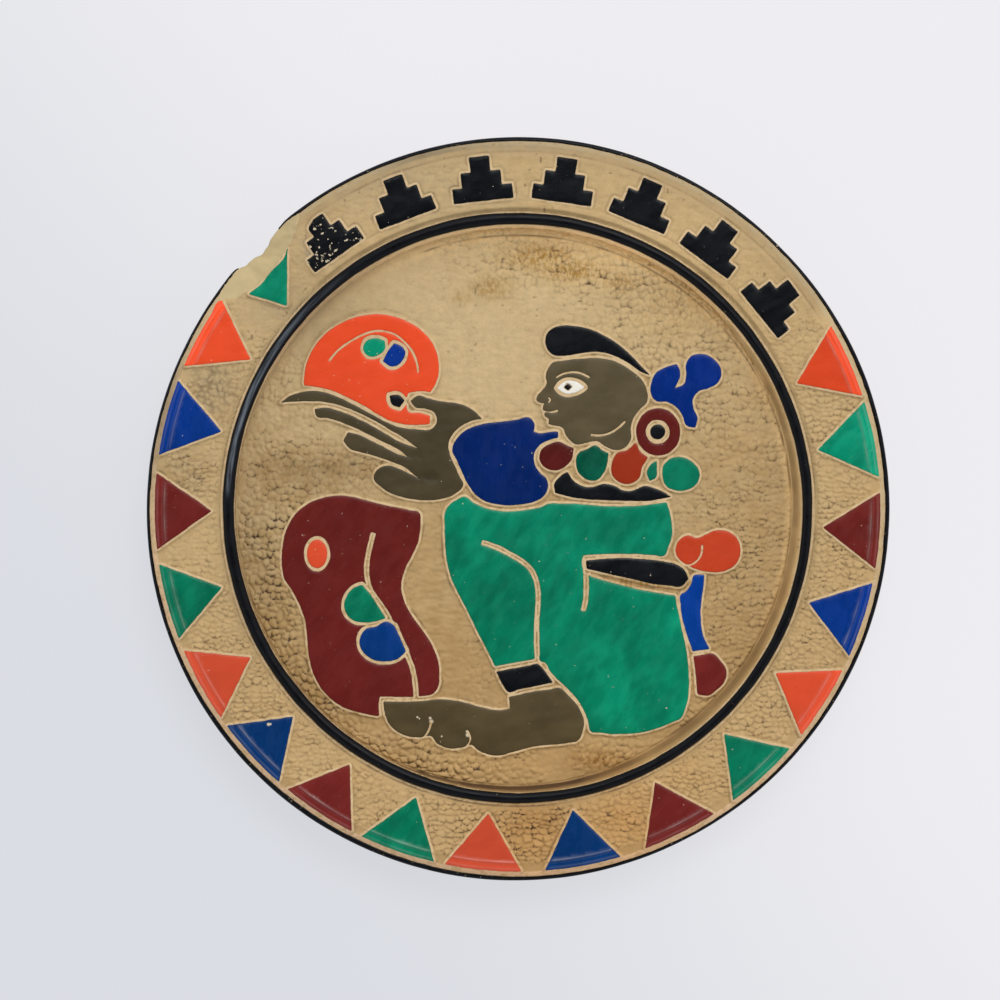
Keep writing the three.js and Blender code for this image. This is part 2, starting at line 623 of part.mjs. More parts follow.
// The foot, a turned ring pierced twice so that the plate can hang on a wire
function footSolid() {
  const inner = footRadius - footFaceWidth;
  let foot = turnedRing([
    [inner, 0],
    [footRadius, 0],
    [footRadius + footRounding, footRounding],
    [footRadius + footTaper, footHeight],
    [inner - footTaper, footHeight],
  ]);
  for (const side of [-1, 1]) {
    const length = footFaceWidth + 2 * (footTaper + cutOverrun);
    const hole = new THREE.CylinderGeometry(hangingHoleRadius, hangingHoleRadius, length, holeSides);
    hole.translate(0, footRadius - footFaceWidth / 2, hangingHoleHeight);
    hole.rotateZ((side * hangingHoleSpread) / 2 / footRadius);
    foot = foot.subtract(solidOf(hole));
  }
  return foot;
}

// The raised bead round the well's mouth
function beadSolid() {
  const middle = (beadInnerRadius + beadOuterRadius) / 2;
  const crown = Array.from({ length: crownPoints }, (_, i) => {
    const angle = (Math.PI * (i + 1)) / (crownPoints + 1);
    return [middle + (beadWidth / 2) * Math.cos(angle), rimLevel + beadHeight * Math.sin(angle)];
  });
  return turnedRing([[beadInnerRadius, rimLevel], [beadOuterRadius, rimLevel], ...crown]);
}

function edgeBandSolid() {
  const outer = edgeArc(edgeRadius + slipThickness, -edgeBandAngle, edgeBandAngle, edgeBandSteps);
  const inner = edgeArc(edgeRadius, -edgeBandAngle, edgeBandAngle, edgeBandSteps).reverse();
  return turnedRing([...outer, ...inner]);
}

// A field's coat of slip, with what is inlaid in it and its grooves cut out
function coatSolid(field) {
  const bottom = floorLevel + reliefDepth;
  const top = bottom + slipThickness;
  let coat = slab(fieldShape(field), bottom, top);
  for (const name of field.inlaid ?? []) {
    const opening = grown(fieldShape(fields[name]), field.inlayLine ?? creamLine);
    coat = coat.subtract(slab(opening, bottom - cutOverrun, top + cutOverrun));
  }
  for (const line of field.lines ?? []) {
    coat = coat.subtract(slab(grooveShape(line), bottom - cutOverrun, top + cutOverrun));
  }
  return coat;
}

const chip = chipSolid();
const rimShapes = new Map();
triangleAngles.forEach((angle, i) => {
  const slip = triangleColours[i % triangleColours.length];
  rimShapes.set(`rim_triangle_${i + 1}_${slip}`, { slip, shape: triangleShape(angle) });
});
for (let i = 0; i < blockCount; i += 1) {
  rimShapes.set(`rim_block_${i + 1}`, { slip: "black", shape: blockShape(firstBlockAngle + i * blockPitch) });
}

// The clay: the dish with a raised island under every painted field
const floorIslands = Object.values(fields).map((field) => (
  slab(grown(fieldShape(field), creamLine), floorLevel - islandRoot, floorLevel + reliefDepth)
));
const rimRelief = rimLayer(-islandRoot, reliefDepth);
const rimIslands = [...rimShapes.values()].map(({ shape }) => (
  rimColumn(grown(shape, creamLine)).intersect(rimRelief)
));
const body = wasm.Manifold.union([dishSolid(), ...floorIslands, ...rimIslands]);
addPiece("plate_body", "clay", body.subtract(chip));
addPiece("foot_ring", "clay", footSolid());

// Black line work
addPiece("well_bead", "black", beadSolid());
addPiece("edge_band", "black", edgeBandSolid().subtract(chip));

// Painted rim
const rimSlip = rimLayer(reliefDepth, reliefDepth + slipThickness);
for (const [name, { slip, shape }] of rimShapes) {
  addPiece(name, slip, rimColumn(shape).intersect(rimSlip).subtract(chip));
}

// Painted figure
for (const [name, field] of Object.entries(fields)) {
  addPiece(name, field.slip, coatSolid(field));
}

export default plate;
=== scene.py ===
"""A carved and painted pottery plate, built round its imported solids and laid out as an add-on."""

import json
import math

import bpy
import numpy as np
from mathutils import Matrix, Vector
from mathutils.geometry import delaunay_2d_cdt
from mathutils.kdtree import KDTree


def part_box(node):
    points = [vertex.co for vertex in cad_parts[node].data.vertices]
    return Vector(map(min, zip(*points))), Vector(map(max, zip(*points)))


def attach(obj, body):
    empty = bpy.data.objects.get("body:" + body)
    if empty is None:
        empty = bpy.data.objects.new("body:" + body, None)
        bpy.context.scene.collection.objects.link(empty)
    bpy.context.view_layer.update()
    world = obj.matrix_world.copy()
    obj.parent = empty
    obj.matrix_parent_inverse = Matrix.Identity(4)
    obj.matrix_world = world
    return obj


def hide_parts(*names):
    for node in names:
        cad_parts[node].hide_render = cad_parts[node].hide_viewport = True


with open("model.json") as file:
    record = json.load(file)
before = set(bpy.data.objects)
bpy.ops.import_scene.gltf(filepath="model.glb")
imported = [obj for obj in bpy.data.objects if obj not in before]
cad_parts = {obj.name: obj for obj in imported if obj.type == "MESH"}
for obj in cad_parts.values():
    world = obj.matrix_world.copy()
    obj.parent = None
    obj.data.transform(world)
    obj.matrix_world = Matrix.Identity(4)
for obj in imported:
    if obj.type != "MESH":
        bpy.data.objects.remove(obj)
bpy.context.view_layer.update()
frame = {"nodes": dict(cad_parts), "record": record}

bl_info = {
    "name": "Painted pottery plate",
    "version": (1, 0, 0),
    "blender": (4, 5, 0),
    "location": "3D View > Sidebar > Plate",
    "description": "Builds a carved and painted pottery plate round its packed solids",
    "category": "Add Mesh",
}

MM = 1000.0  # shapes are worked out in millimetres, and Blender's unit is the metre
SLOTS = {part["node"]: part["material_slot"] for part in frame["record"]["subparts"]}

# The turned dish, in millimetres
UNDERSIDE_LEVEL = 6.0
FLOOR_LEVEL = 14.0
RIM_LEVEL = 22.0
RIM_UNDERSIDE = 14.5
BASE_RADIUS = 110.0
SHOULDER_RADIUS = 126.0
WALL_FOOT = 116.2  # where the well's wall starts
FOOT_OUT = 1.2  # it starts farther out at the lower left, where it is steeper
FOOT_IN = 2.0  # farther in at the lower right, where it slopes most
FOOT_TOP = 0.9  # and farther out at the top
FOOT_LAST = 117.2  # but nowhere beyond this
WALL_TOP = 117.9
LIP_CREASE = 147.0
LIP_DROP = 1.1
EDGE_CENTRE = 150.4
EDGE_CENTRE_LEVEL = 17.7
EDGE_RADIUS = 3.2
SPLIT_RADIUS = 119.5  # the well's clay meets the rim's under the bead
PLUG_LEVEL = 12.0  # and rests on the base's here
HUB_RADIUS = 0.4  # the base is turned round this

# The black bead round the well
BEAD_MIDDLE = 120.3
BEAD_HALF = 2.2
BEAD_FEET = RIM_LEVEL - 0.5
BEAD_NOISE = 120  # its unevenness is read off round this radius
# How a hand laid the bead: degrees from the right, how far it lies out of its circle, how wide it is
BEAD_DRIFT = (
    (45, 0.0, 1.0),
    (95, 0.3, 1.1),
    (140, 0.05, 1.03),
    (220, -0.35, 1.1),
    (270, -0.1, 1.0),
    (320, 0.2, 0.88),
)
# Where a stretch of the bead is painted with a grey sheen, a painted reflection with some rubbed wear, and
# where that ends, in radians from the right
RUBBED_SHEEN_FROM = (2.1, 2.75)
RUBBED_SHEEN_TO = (3.02, 3.12)

# The chip in the edge: a scoop with a middle outside the plate, longer on its upper side
CHIP_ANGLE = math.radians(137.5)
CHIP_CENTRE = 158.0
CHIP_TOP = 23.5
CHIP_REACH = 15.9
CHIP_UPPER_HALF = 36.8
CHIP_LOWER_HALF = 25.0
CHIP_DEPTH = 9.3
CHIP_BITE = (-10.0, 6.5, 1.6)  # where it is deepest along the edge, the half width there, the extra depth
CHIP_ANGLES = (118.0, 152.0)
# What the chip leaves of its triangle, round from the point nearest the well
CHIPPED_TRIANGLE = (
    (-95.8, 84.2),
    (-95.7, 96.0),
    (-95.6, 108.3),
    (-96.9, 104.2),
    (-98.6, 102.2),
    (-102.5, 98.4),
    (-106.2, 93.6),
    (-111.6, 89.1),
)

# Raised and cut lines on the rim's lip: radius, half width, height
LIP_RIDGES = ((147.1, 0.42, 0.5), (148.1, 0.45, -0.34), (149.6, 0.36, 0.16))
# Lines cut in the clay: radius, first and last angle, half width, depth
CUT_LINES = (
    (123.7, 0.0, 360.0, 0.25, 0.38),
    (123.4, 236.0, 304.0, 0.3, 0.6),
    (114.0, -62.0, 112.0, 0.35, 0.4),
    (148.4, 30.0, 128.0, 0.28, 0.34),
    (128.3, 34.0, 122.0, 0.23, 0.24),
)
CREASE_RINGS = (146.3, 146.75, 147.1, 147.5, 147.9, 148.3, 148.8, 149.3, 149.6, 150.0, 150.4)
LINE_FADE = 4.0  # degrees over which a cut line runs out
# Where the paint is worn pale along the lip's ridges, with a painted highlight there, and where it starts to
# lie brighter as painted light on the lip's slope
CREST_RADIUS = 146.65
SECOND_CREST = 149.6
LIP_BRIGHT = (146.9, 147.5)
RELIEF_FADE = (150.6, 152.4)  # the painted surface falls to the black edge between these radii
RIM_TOOLING = (124.3, 125.2)  # the rim's tooled ground starts between these radii
LIP_TOOLING = (146.2, 148.6)  # and runs out between these
PITTED_RADIUS = 150  # the clay has small pits within this radius
# The bare rings inside the bead, outside it, and between the lip and the black edge
INNER_RING = 117.8
OUTER_RING = 122.9
LIP_RING = 151.8
# The black edge: degrees from the right, and how thick the enamel lies there
EDGE_THICKNESS = (
    (-160, 0.9),
    (-128, 1.4),
    (-100, 1.2),
    (-62, 0.55),
    (-10, 1.0),
    (20, 1.15),
    (44, 0.55),
    (78, 1.05),
    (112, 0.75),
    (155, 0.3),
)
BAND_TOP = math.radians(41)  # the enamel reaches this far over the rounded edge
BAND_BOTTOM = math.radians(-47)  # and this far under it
BAND_SUNK = 0.25  # its back lies this deep in the clay
BAND_NOISE = 154  # its unevenness is read off round this radius

# The state of the ground: how pebbled, how brushed and how dirty it is, each 0 to 1
WELL_GROUND = (0.4, 0.35, 0.4)
RIM_GROUND = (0.66, 0.35, 0.22)
BLOCK_GROUND = (0.1, 0.35, 0.3)
BLOCKS_FROM = (31, 36)  # degrees from the right over which the ground of the blocks begins
BLOCKS_TO = (128, 133)  # and ends
# The same, patch by patch: middle, reach, then the three
PATCHES = (
    (-72, 92, 48, 32, 0.04, 0.3, 0.12),
    (-8, 62, 42, 26, 0.08, 0.4, 0.1),
    (0, 82, 36, 16, 0.12, 0.3, 0.08),
    (8, 103, 20, 8, 0.7, 0.2, 0.5),
    (34, 96, 24, 9, 0.62, 0.2, 0.3),
    (70, 78, 36, 26, 0.62, 0.2, 0.2),
    (86, 40, 22, 30, 0.6, 0.2, 0.5),
    (94, -6, 20, 40, 0.6, 0.4, 0.75),
    (92, -62, 18, 28, 0.6, 0.4, 0.8),
    (-34, -46, 14, 44, 0.12, 1.0, 0.8),
    (-96, 10, 20, 20, 0.7, 0.3, 1.0),
    (-80, 16, 30, 8, 0.6, 0.4, 1.0),
    (-103, -30, 13, 42, 0.95, 0.2, 1.0),
    (-86, -76, 28, 18, 1.0, 0.1, 1.0),
    (-40, -106, 42, 12, 1.0, 0.1, 0.5),
    (16, -105, 9, 8, 0.1, 0.3, 0.3),
    (40, -103, 18, 9, 0.7, 0.2, 0.5),
    (80, -78, 16, 14, 0.6, 0.3, 0.3),
)
RIM_PATCHES = (
    (-100, 88, 26, 26, 0.1, 0.25, 0.2),
    (-128, 46, 12, 14, 0.9, 0.1, 0.5),
    (-138, 14, 12, 10, 0.8, 0.3, 1.0),
    (-134, -14, 14, 12, 0.12, 0.3, 0.3),
    (4, -134, 24, 14, 0.9, 0.3, 0.7),
    (-128, -34, 14, 24, 0.5, 0.3, 0.3),
    (118, 60, 18, 24, 0.35, 0.4, 0.25),
    (136, 20, 14, 24, 0.45, 0.35, 0.25),
)
# The well's ground turns from pebbles to flakes over these stretches, to the right and downwards
FLAKED_RIGHT = (40, 75)
FLAKED_BELOW = (-10, 30)
# Places on the rim where the tool's marks are round: middle, reach, strength
ROUND_PLACES = (
    (-128, 48, 14, 18, 1.0),
    (-138, 14, 12, 14, 0.8),
    (-52, -118, 12, 8, 0.8),
    (-90, -86, 10, 10, 0.6),
)
# Places where the tool has left soft round dimples: middle, reach, strength
DIMPLED_PLACES = (
    (-126, 48, 13, 17, 1.0),
    (-82, 16, 30, 8, 0.5),
)
# Places where the clay is paler, or darker below zero: middle, reach, strength. The first three are painted
# light on the ground below the upper wall, where its shade falls.
PALE_PLACES = (
    (30, 104, 36, 12, 0.34),
    (60, 84, 30, 20, 0.1),
    (92, 46, 14, 24, 0.08),
    (-8, -108, 46, 11, 0.24),
    (40, -104, 22, 10, 0.26),
    (80, -78, 18, 14, 0.12),
    (-112, -30, 10, 40, -0.12),
    (-84, 16, 26, 8, -0.14),
    (-80, 84, 24, 20, -0.14),
)
# Places where the outermost ring of the lip is painted darker: middle, reach, strength. At the top this is
# painted shade, where the lip faces the light.
DARK_LIP_PLACES = (
    (-146, 38, 16, 30, 0.42),
    (-38, 147, 26, 8, 0.32),
)
# Places where the clay is greyer: middle, reach, strength
GREY_PLACES = (
    (-128, 52, 10, 14, 0.45),
    (-139, 16, 12, 12, 0.3),
    (-84, 107, 7, 6, 0.9),
    (-100, 84, 16, 14, 0.35),
    (-44, 132, 32, 14, 0.4),
    (0, 152, 60, 4, 0.5),
)
# How much brighter a field is painted than the rest of its colour, or darker, below zero
TONES = {
    "reaching_hand": -0.28,
    "rim_triangle_1_orange": -0.18,
    "rim_triangle_11_maroon": 0.1,
    "rim_triangle_14_green": -0.16,
    "bead_green": -0.6,
    "bead_orange": -0.6,
    "bead_maroon": -0.35,
    "bead_small": -0.45,
    "bead_large": -0.3,
    "sleeve": -0.5,
    "headdress_knot": -0.27,
    "sash": 0.3,
    "cloak_blue_lobe": 0.2,
    "sash_knot": -0.28,
    "cloak": -0.1,
    "ear_flare": -0.15,
}
# Places where a painted coat is brighter, or darker, below zero: middle, reach, strength
BRIGHT_PLACES = (
    (50, -84, 26, 14, 0.32),
    (64, -54, 15, 20, 0.3),
    (34, -62, 13, 16, 0.2),
    (0, -38, 12, 14, -0.22),
)
# Brown stains: middle, reach, strength
STAINS = (
    (10, 105, 15, 6, 1.0),
    (24, 99, 15, 5, 1.0),
    (44, 94, 12, 5, 0.7),
    (-11, 92, 9, 5, 0.85),
    (-23, 88, 5, 3, 0.6),
    (52, -31, 22, 2.6, 1.0),
    (-84, 16, 28, 9, 0.4),
    (34, -105, 12, 5, 0.95),
    (10, -128, 14, 6, 0.4),
    (66, 86, 28, 18, 0.4),
    (-128, -64, 10, 8, 0.2),
    (150, -60, 10, 10, 0.2),
)
# Places where the clay is more orange: middle, reach, strength
OCHRE_PLACES = (
    (6, -136, 24, 18, 1.0),
    (44, -130, 24, 18, 1.0),
    (70, -112, 18, 14, 0.4),
    (14, -106, 26, 10, 0.3),
)
# Thin lines scribed beside the paint: middle, reach, distance from the bare line, depth
SCRIBED = (
    (-74, 78, 40, 14, 1.4, 0.2),
    (-12, -100, 30, 9, 1.3, 0.15),
    (112, -72, 26, 30, 1.1, 0.16),
)
LONG_SIDE = math.radians(215)  # the side of the well where its tooling runs up the wall
SOFT_SIDE = math.radians(-35)  # the side where the wall slopes most
TOP_SIDE = math.radians(80)  # the side at the top, where the wall is steep too
PALE_SIDE = math.radians(45)  # the side where the wall is painted palest, as painted light

# Places where the paint is missing: middle and size
FLECKS = (
    (-35.9, -88.6, 0.9),
    (-36.4, -87.2, 0.6),
    (-20.7, -94.2, 0.9),
    (-21.0, -92.8, 0.6),
    (-41.7, -86.8, 0.45),
    (-40.9, -87.4, 0.35),
    (-31.6, -94.8, 0.4),
    (-103.4, -89.5, 0.7),
    (-102.6, -89.4, 0.5),
    (-58.2, -64.6, 0.3),
    (62.0, -83.0, 0.35),
    (98.0, -94.0, 0.4),
)
WORN = {"rim_block_7": 1.0}  # how much of a coat has come off

# Fineness of the meshes, in millimetres
OUTLINE_STEP = 0.5
TRACE_STEP = 0.25
BROKEN_STEP = 0.5
SPARSE_STEP = 3.0
WALL_STEP = 0.31
UNDER_STEP = 2.6
BASE_STEP = 0.7
HARD_CORNER = math.radians(70)  # an outline's corners that turn by more than this stay corners
WELD = 0.0005  # the solids' points that are this near to each other are one
SAME_POINT = 1e-5
SKIRT = 0.15  # how far a coat is sunk in the clay that carries it
UNDER_PAINT = 0.7  # how far the clay is kept clear of the coat over it, inside its border
CLEARANCE = 0.3  # how far the points of one region keep from the next
CONTOURS = (-0.35, 0.3)  # rows of the clay's points along each coat's border, this far outside it
CONTOUR_SLACK = 0.07  # they may lie this much nearer to another coat
OFF_PAINT = 0.55  # the clay's other points keep this far from paint
OFF_LINE = 0.24  # from the edge of the bare line
OFF_SLOPE = 0.22  # and from the slope's rows
HIDDEN = -0.8  # under paint the points are sparse, this far inside its border
COAT_ROWS = (0.22, 0.55)  # rows of a coat's points along its border, this far inside it
ROUND_ROWS = (78, 66, 54, 42, 30, 18, 8)  # the rows of the rounded edge, in degrees over its middle
# Points round the plate
SEAM_POINTS = 800
WALL_POINTS = 1150
EDGE_POINTS = 1800
ROUND_POINTS = 1500
ROUND_UNDER_POINTS = 900
UNDER_POINTS = 600
BASE_POINTS = 420
BEAD_POINTS = 900
BAND_POINTS = 1600
CREASE_POINTS = 1000

# How each colour is brushed on: direction of the strokes in radians, clouds, pale specks, roughness
BRUSHED = {
    "orange": (0.2, 0.04, 0.2, 0.3),
    "green": (1.0, 0.22, 0.15, 0.27),
    "blue": (1.5, 0.1, 0.25, 0.27),
    "maroon": (0.9, 0.1, 0.8, 0.27),
    "olive": (0.1, 0.12, 0.6, 0.34),
    "black": (0.4, 0.2, 0.5, 0.27),
    "white": (0.2, 0.02, 0.0, 0.42),
}

# The room and the camera, in metres and degrees
OVERHEAD_FADE = (46, 20)  # the room darkens between these angles from straight overhead
BACKDROP_LEVEL = 0.86
KEY_SPREAD = 36
FLOOR_HALF = 3.0
EYE = (-0.00731, 0.00361)  # the camera stands over this spot


def srgb(red, green, blue):
    """The scene-linear colour of a shade written from 0 to 255."""
    shade = np.array([red, green, blue]) / 255
    linear = np.where(shade <= 0.04045, shade / 12.92, ((shade + 0.055) / 1.055) ** 2.4)
    return tuple(float(value) for value in linear)


def smooth_step(low, high, value):
    """From 0 to 1 as a value passes from low to high, with soft ends."""
    share = np.clip((value - low) / (high - low), 0, 1)
    return share * share * (3 - 2 * share)


def hashed(i, j, seed):
    """A settled random number from 0 to 1 for each cell of a grid."""
    mixed = (i * 374761393 + j * 668265263 + seed * 974634777) & 0xFFFFFFFF
    mixed = ((mixed ^ (mixed >> 13)) * 1274126177) & 0xFFFFFFFF
    return (mixed ^ (mixed >> 16)) / 0x100000000


def noise(x, y, size, seed):
    """Smooth noise from -1 to 1, with bumps of about this size."""
    column = np.floor(x / size).astype(np.int64)
    row = np.floor(y / size).astype(np.int64)
    across = smooth_step(0, 1, x / size - column)
    up = smooth_step(0, 1, y / size - row)
    low = hashed(column, row, seed) * (1 - across) + hashed(column + 1, row, seed) * across
    high = hashed(column, row + 1, seed) * (1 - across) + hashed(column + 1, row + 1, seed) * across
    return 2 * (low * (1 - up) + high * up) - 1


def ridge(off, half_width):
    """1 on a line, falling away on both its sides."""
    return np.exp(-((off / half_width) ** 2))


def off_place(x, y, at_x, at_y, reach_x, reach_y):
    """0 in the middle of a soft-edged place, and 1 at its reach."""
    return ((x - at_x) / reach_x) ** 2 + ((y - at_y) / reach_y) ** 2


def blotches(x, y, places):
    """How strongly each point is marked by soft-edged places."""
    marked = np.zeros(len(x))
    for *place, strength in places:
        here = strength * np.exp(-off_place(x, y, *place))
        marked = np.where(np.abs(here) > np.abs(marked), here, marked)
    return marked


def bearing(points):
    """The angle at which each point lies, counted from the right."""
    return np.arctan2(points[:, 1], points[:, 0])


def by_bearing(angle, degrees, values):
    """Values given at some bearings, brought evenly round the plate."""
    return np.interp(angle, np.radians(degrees), values, period=2 * math.pi)


def pebble_cells(x, y, size, seed):
    """How far a point is from its pebble's crevice, from its middle and above it, and the pebble's height."""
    u = x / size
    v = y / size
    column = np.floor(u).astype(np.int64)
    row = np.floor(v).astype(np.int64)
    nearest = np.full(len(u), np.inf)
    second = np.full(len(u), np.inf)
    own = np.zeros(len(u))
    above = np.zeros(len(u))
    for i in (column - 1, column, column + 1):
        for j in (row - 1, row, row + 1):
            aside = u - i - 0.1 - 0.8 * hashed(i, j, seed)
            beyond = v - j - 0.1 - 0.8 * hashed(i, j, seed + 1)
            gap = np.hypot(aside, beyond)
            closer = gap < nearest
            second = np.where(closer, nearest, np.minimum(second, gap))
            own = np.where(closer, hashed(i, j, seed + 2), own)
            above = np.where(closer, beyond, above)
            nearest = np.where(closer, gap, nearest)
    return second - nearest, nearest, above, own


def pebbled(x, y, size, seed, tilt):
    """Rounded pebbles, tilted up to the bottom of the picture: their height, and the darkness of their
    crevices, strongest on each pebble's lower side as painted shade.
    """
    inner, middle, above, own = pebble_cells(x, y, size, seed)
    dome = np.sqrt(np.clip(1 - (middle / 0.82) ** 2, 0, 1)) * np.sqrt(smooth_step(-0.04, 0.42, inner))
    crevice = np.clip(1 - 1.1 * dome, 0, 1) ** 1.2 * np.clip(0.65 - 1.5 * above, 0.05, 1.4)
    return dome * (0.4 + 0.75 * own) - tilt * above * smooth_step(0, 0.2, inner), crevice


def flaked(x, y, size, seed):
    """Flat flakes, each tilted up to the bottom of the picture, with a sharp step down to the next, and
    painted shade at the step below each flake.
    """
    inner, _, above, own = pebble_cells(x, y, size, seed)
    flat = smooth_step(-0.02, 0.24, inner)
    crevice = (1 - smooth_step(0.0, 0.34, inner)) * np.clip(0.35 - 1.9 * above, 0.0, 1.4)
    return flat * (0.35 + 0.5 * own) - 0.55 * above * flat, crevice


# Outlines of the painted coats


def top_loops(node):
    """The loops round a coat's upper face, seen from above, in millimetres. The coat lies on their left."""
    mesh = frame["nodes"][node].data
    mesh.calc_loop_triangles()
    points = np.empty(len(mesh.vertices) * 3)
    mesh.vertices.foreach_get("co", points)
    corners = np.empty(len(mesh.loop_triangles) * 3, np.int32)
    mesh.loop_triangles.foreach_get("vertices", corners)
    cells = np.round(points.reshape(-1, 3) * MM / WELD).astype(np.int64)
    welded, index = np.unique(cells, axis=0, return_inverse=True)
    places = welded * WELD
    triangles = index.reshape(-1)[corners].reshape(-1, 3)
    first, second, third = (places[triangles[:, k]] for k in range(3))
    normal = np.cross(second - first, third - first)
    upper = triangles[normal[:, 2] > 0.7 * np.linalg.norm(normal, axis=1)]
    following = {}
    for start, end in border(upper).tolist():
        following.setdefault(start, []).append(end)
    loops = []
    while following:
        start = next(iter(following))
        loop = [start]
        while loop[-1] in following:
            ends = following[loop[-1]]
            loop.append(ends.pop())
            if not ends:
                del following[loop[-2]]
        loops.append(places[loop[:-1], :2])
    return [loop for loop in loops if abs(area(loop)) > 0.2]


def area(loop):
    """The area in a loop, below zero where it runs clockwise."""
    x, y = loop.T
    return 0.5 * float(np.sum(x * np.roll(y, -1) - y * np.roll(x, -1)))


def border(triangles):
    """The edges that only one triangle has, each with the surface on its left."""
    edges = np.vstack([triangles[:, [0, 1]], triangles[:, [1, 2]], triangles[:, [2, 0]]]).astype(np.int64)
    span = int(edges.max()) + 1
    forward = edges[:, 0] * span + edges[:, 1]
    backward = edges[:, 1] * span + edges[:, 0]
    return edges[~np.isin(forward, backward)]


def resampled(loop, step):
    """The same closed line with points at even steps."""
    closed = np.vstack([loop, loop[:1]])
    run = np.concatenate([[0], np.cumsum(np.hypot(*np.diff(closed, axis=0).T))])
    count = max(int(round(run[-1] / step)), 6)
    at = np.linspace(0, run[-1], count, endpoint=False)
    return np.column_stack([np.interp(at, run, closed[:, 0]), np.interp(at, run, closed[:, 1])])


def outward(loop):
    """The direction out of a loop at each of its points."""
    along = np.roll(loop, -1, axis=0) - np.roll(loop, 1, axis=0)
    along /= np.maximum(np.hypot(*along.T), SAME_POINT)[:, None]
    return np.column_stack([along[:, 1], -along[:, 0]])


def drawn_line(loop):
    """A hand's line through the corners of a CAD loop: curved, with its hard corners kept but rounded off."""
    apart = np.hypot(*(loop - np.roll(loop, 1, axis=0)).T) > 0.3
    loop = loop[apart]
    ahead = np.roll(loop, -1, axis=0) - loop
    reach = np.hypot(*ahead.T)
    heading = ahead / reach[:, None]
    arriving = np.roll(heading, 1, axis=0)
    turn = np.arccos(np.clip((heading * arriving).sum(1), -1, 1))
    through = heading / reach[:, None] + arriving / np.roll(reach, 1)[:, None]
    through /= np.maximum(np.hypot(*through.T), SAME_POINT)[:, None]
    hard = turn > HARD_CORNER
    leaving = np.where(hard[:, None], heading, through)
    entering = np.roll(np.where(hard[:, None], arriving, through), -1, axis=0)
    traced = []
    for i, start in enumerate(loop):
        end = loop[(i + 1) % len(loop)]
        steps = max(int(reach[i] / TRACE_STEP), 1)
        t = (np.arange(steps) / steps)[:, None]
        traced.append(
            start * (1 + t * t * (2 * t - 3))
            + end * (t * t * (3 - 2 * t))
            + leaving[i] * reach[i] * (t - 2 * t * t + t**3)
            + entering[i] * reach[i] * (t**3 - t * t)
        )
    line = resampled(np.vstack(traced), TRACE_STEP)
    softened = sum(
        weight * np.roll(line, shift, axis=0)
        for shift, weight in ((-2, 0.1), (-1, 0.2), (0, 0.4), (1, 0.2), (2, 0.1))
    )
    line = resampled(softened, OUTLINE_STEP)
    x, y = line.T
    waver = 0.1 * noise(x, y, 3.3, 5) + 0.06 * noise(x, y, 1.1, 6)
    return line + outward(line) * waver[:, None]


def loop_edges(loops):
    """Each point's number and the next one's, round every loop."""
    edges = []
    start = 0
    for loop in loops:
        index = np.arange(start, start + len(loop))
        edges.append(np.column_stack([index, np.roll(index, -1)]))
        start += len(loop)
    return np.vstack(edges)


class Outlines:
    """Closed lines that can be asked how far a point lies outside them, or inside, below zero."""

    def __init__(self, loops):
        self.at = np.vstack(loops)
        self.normal = np.vstack([outward(loop) for loop in loops])
        self.after = loop_edges(loops)[:, 1]
        self.before = np.argsort(self.after)
        self.tree = KDTree(len(self.at))
        for i, (x, y) in enumerate(self.at.tolist()):
            self.tree.insert((x, y, 0.0), i)
        self.tree.balance()

    def gap(self, points):
        """How far each point lies outside the lines, or inside, below zero."""
        find = self.tree.find
        nearest = np.fromiter((find((x, y, 0.0))[1] for x, y in points.tolist()), int, len(points))
        away = points - self.at[nearest]
        best = np.full(len(points), np.inf)
        for neighbour in (self.before, self.after):
            side = self.at[neighbour[nearest]] - self.at[nearest]
            share = np.clip((away * side).sum(1) / (side * side).sum(1), 0, 1)
            best = np.minimum(best, np.hypot(*(away - share[:, None] * side).T))
        return best * np.where((away * self.normal[nearest]).sum(1) < 0, -1, 1)


UNPAINTED_NODES = ("plate_body", "foot_ring", "well_bead", "edge_band")
COAT_NODES = [node for node in sorted(SLOTS) if node not in UNPAINTED_NODES]
COAT_LOOPS = {node: [drawn_line(loop) for loop in top_loops(node)] for node in COAT_NODES}
COAT_LOOPS["rim_triangle_18_green"] = [drawn_line(np.array(CHIPPED_TRIANGLE))]
ALL_COATS = Outlines([loop for loops in COAT_LOOPS.values() for loop in loops])


# Levels of the clay


def facing(x, y, side):
    """1 on one side of the plate, falling to 0 round to its other sides."""
    towards = x * math.cos(side) + y * math.sin(side)
    return smooth_step(0.0, 0.6, towards / np.maximum(np.hypot(x, y), 1))


def wall_foot(x, y):
    """Where the well's wall starts at each bearing."""
    foot = WALL_FOOT + FOOT_OUT * facing(x, y, LONG_SIDE)
    foot = foot - FOOT_IN * facing(x, y, SOFT_SIDE) + FOOT_TOP * facing(x, y, TOP_SIDE)
    return np.minimum(foot, FOOT_LAST)


def dish_level(radius, foot=WALL_FOOT):
    """The turned dish's upper side, before any carving."""
    level = FLOOR_LEVEL + (RIM_LEVEL - FLOOR_LEVEL) * smooth_step(foot, WALL_TOP, radius)
    level = level - LIP_DROP * np.clip((radius - LIP_CREASE) / (EDGE_CENTRE - LIP_CREASE), 0, 1)
    past = np.clip(radius - EDGE_CENTRE, 0, EDGE_RADIUS)
    return level - EDGE_RADIUS + np.sqrt(EDGE_RADIUS**2 - past**2)


def lip_ridges(radius, x, y):
    """The height of the ridges and grooves that a hand has drawn round the lip."""
    height = 0
    for at, half_width, rise in LIP_RIDGES:
        strength = 0.75 + 0.45 * noise(x, y, 9.0, int(at))
        height = height + rise * strength * ridge(radius - at, half_width)
    return height


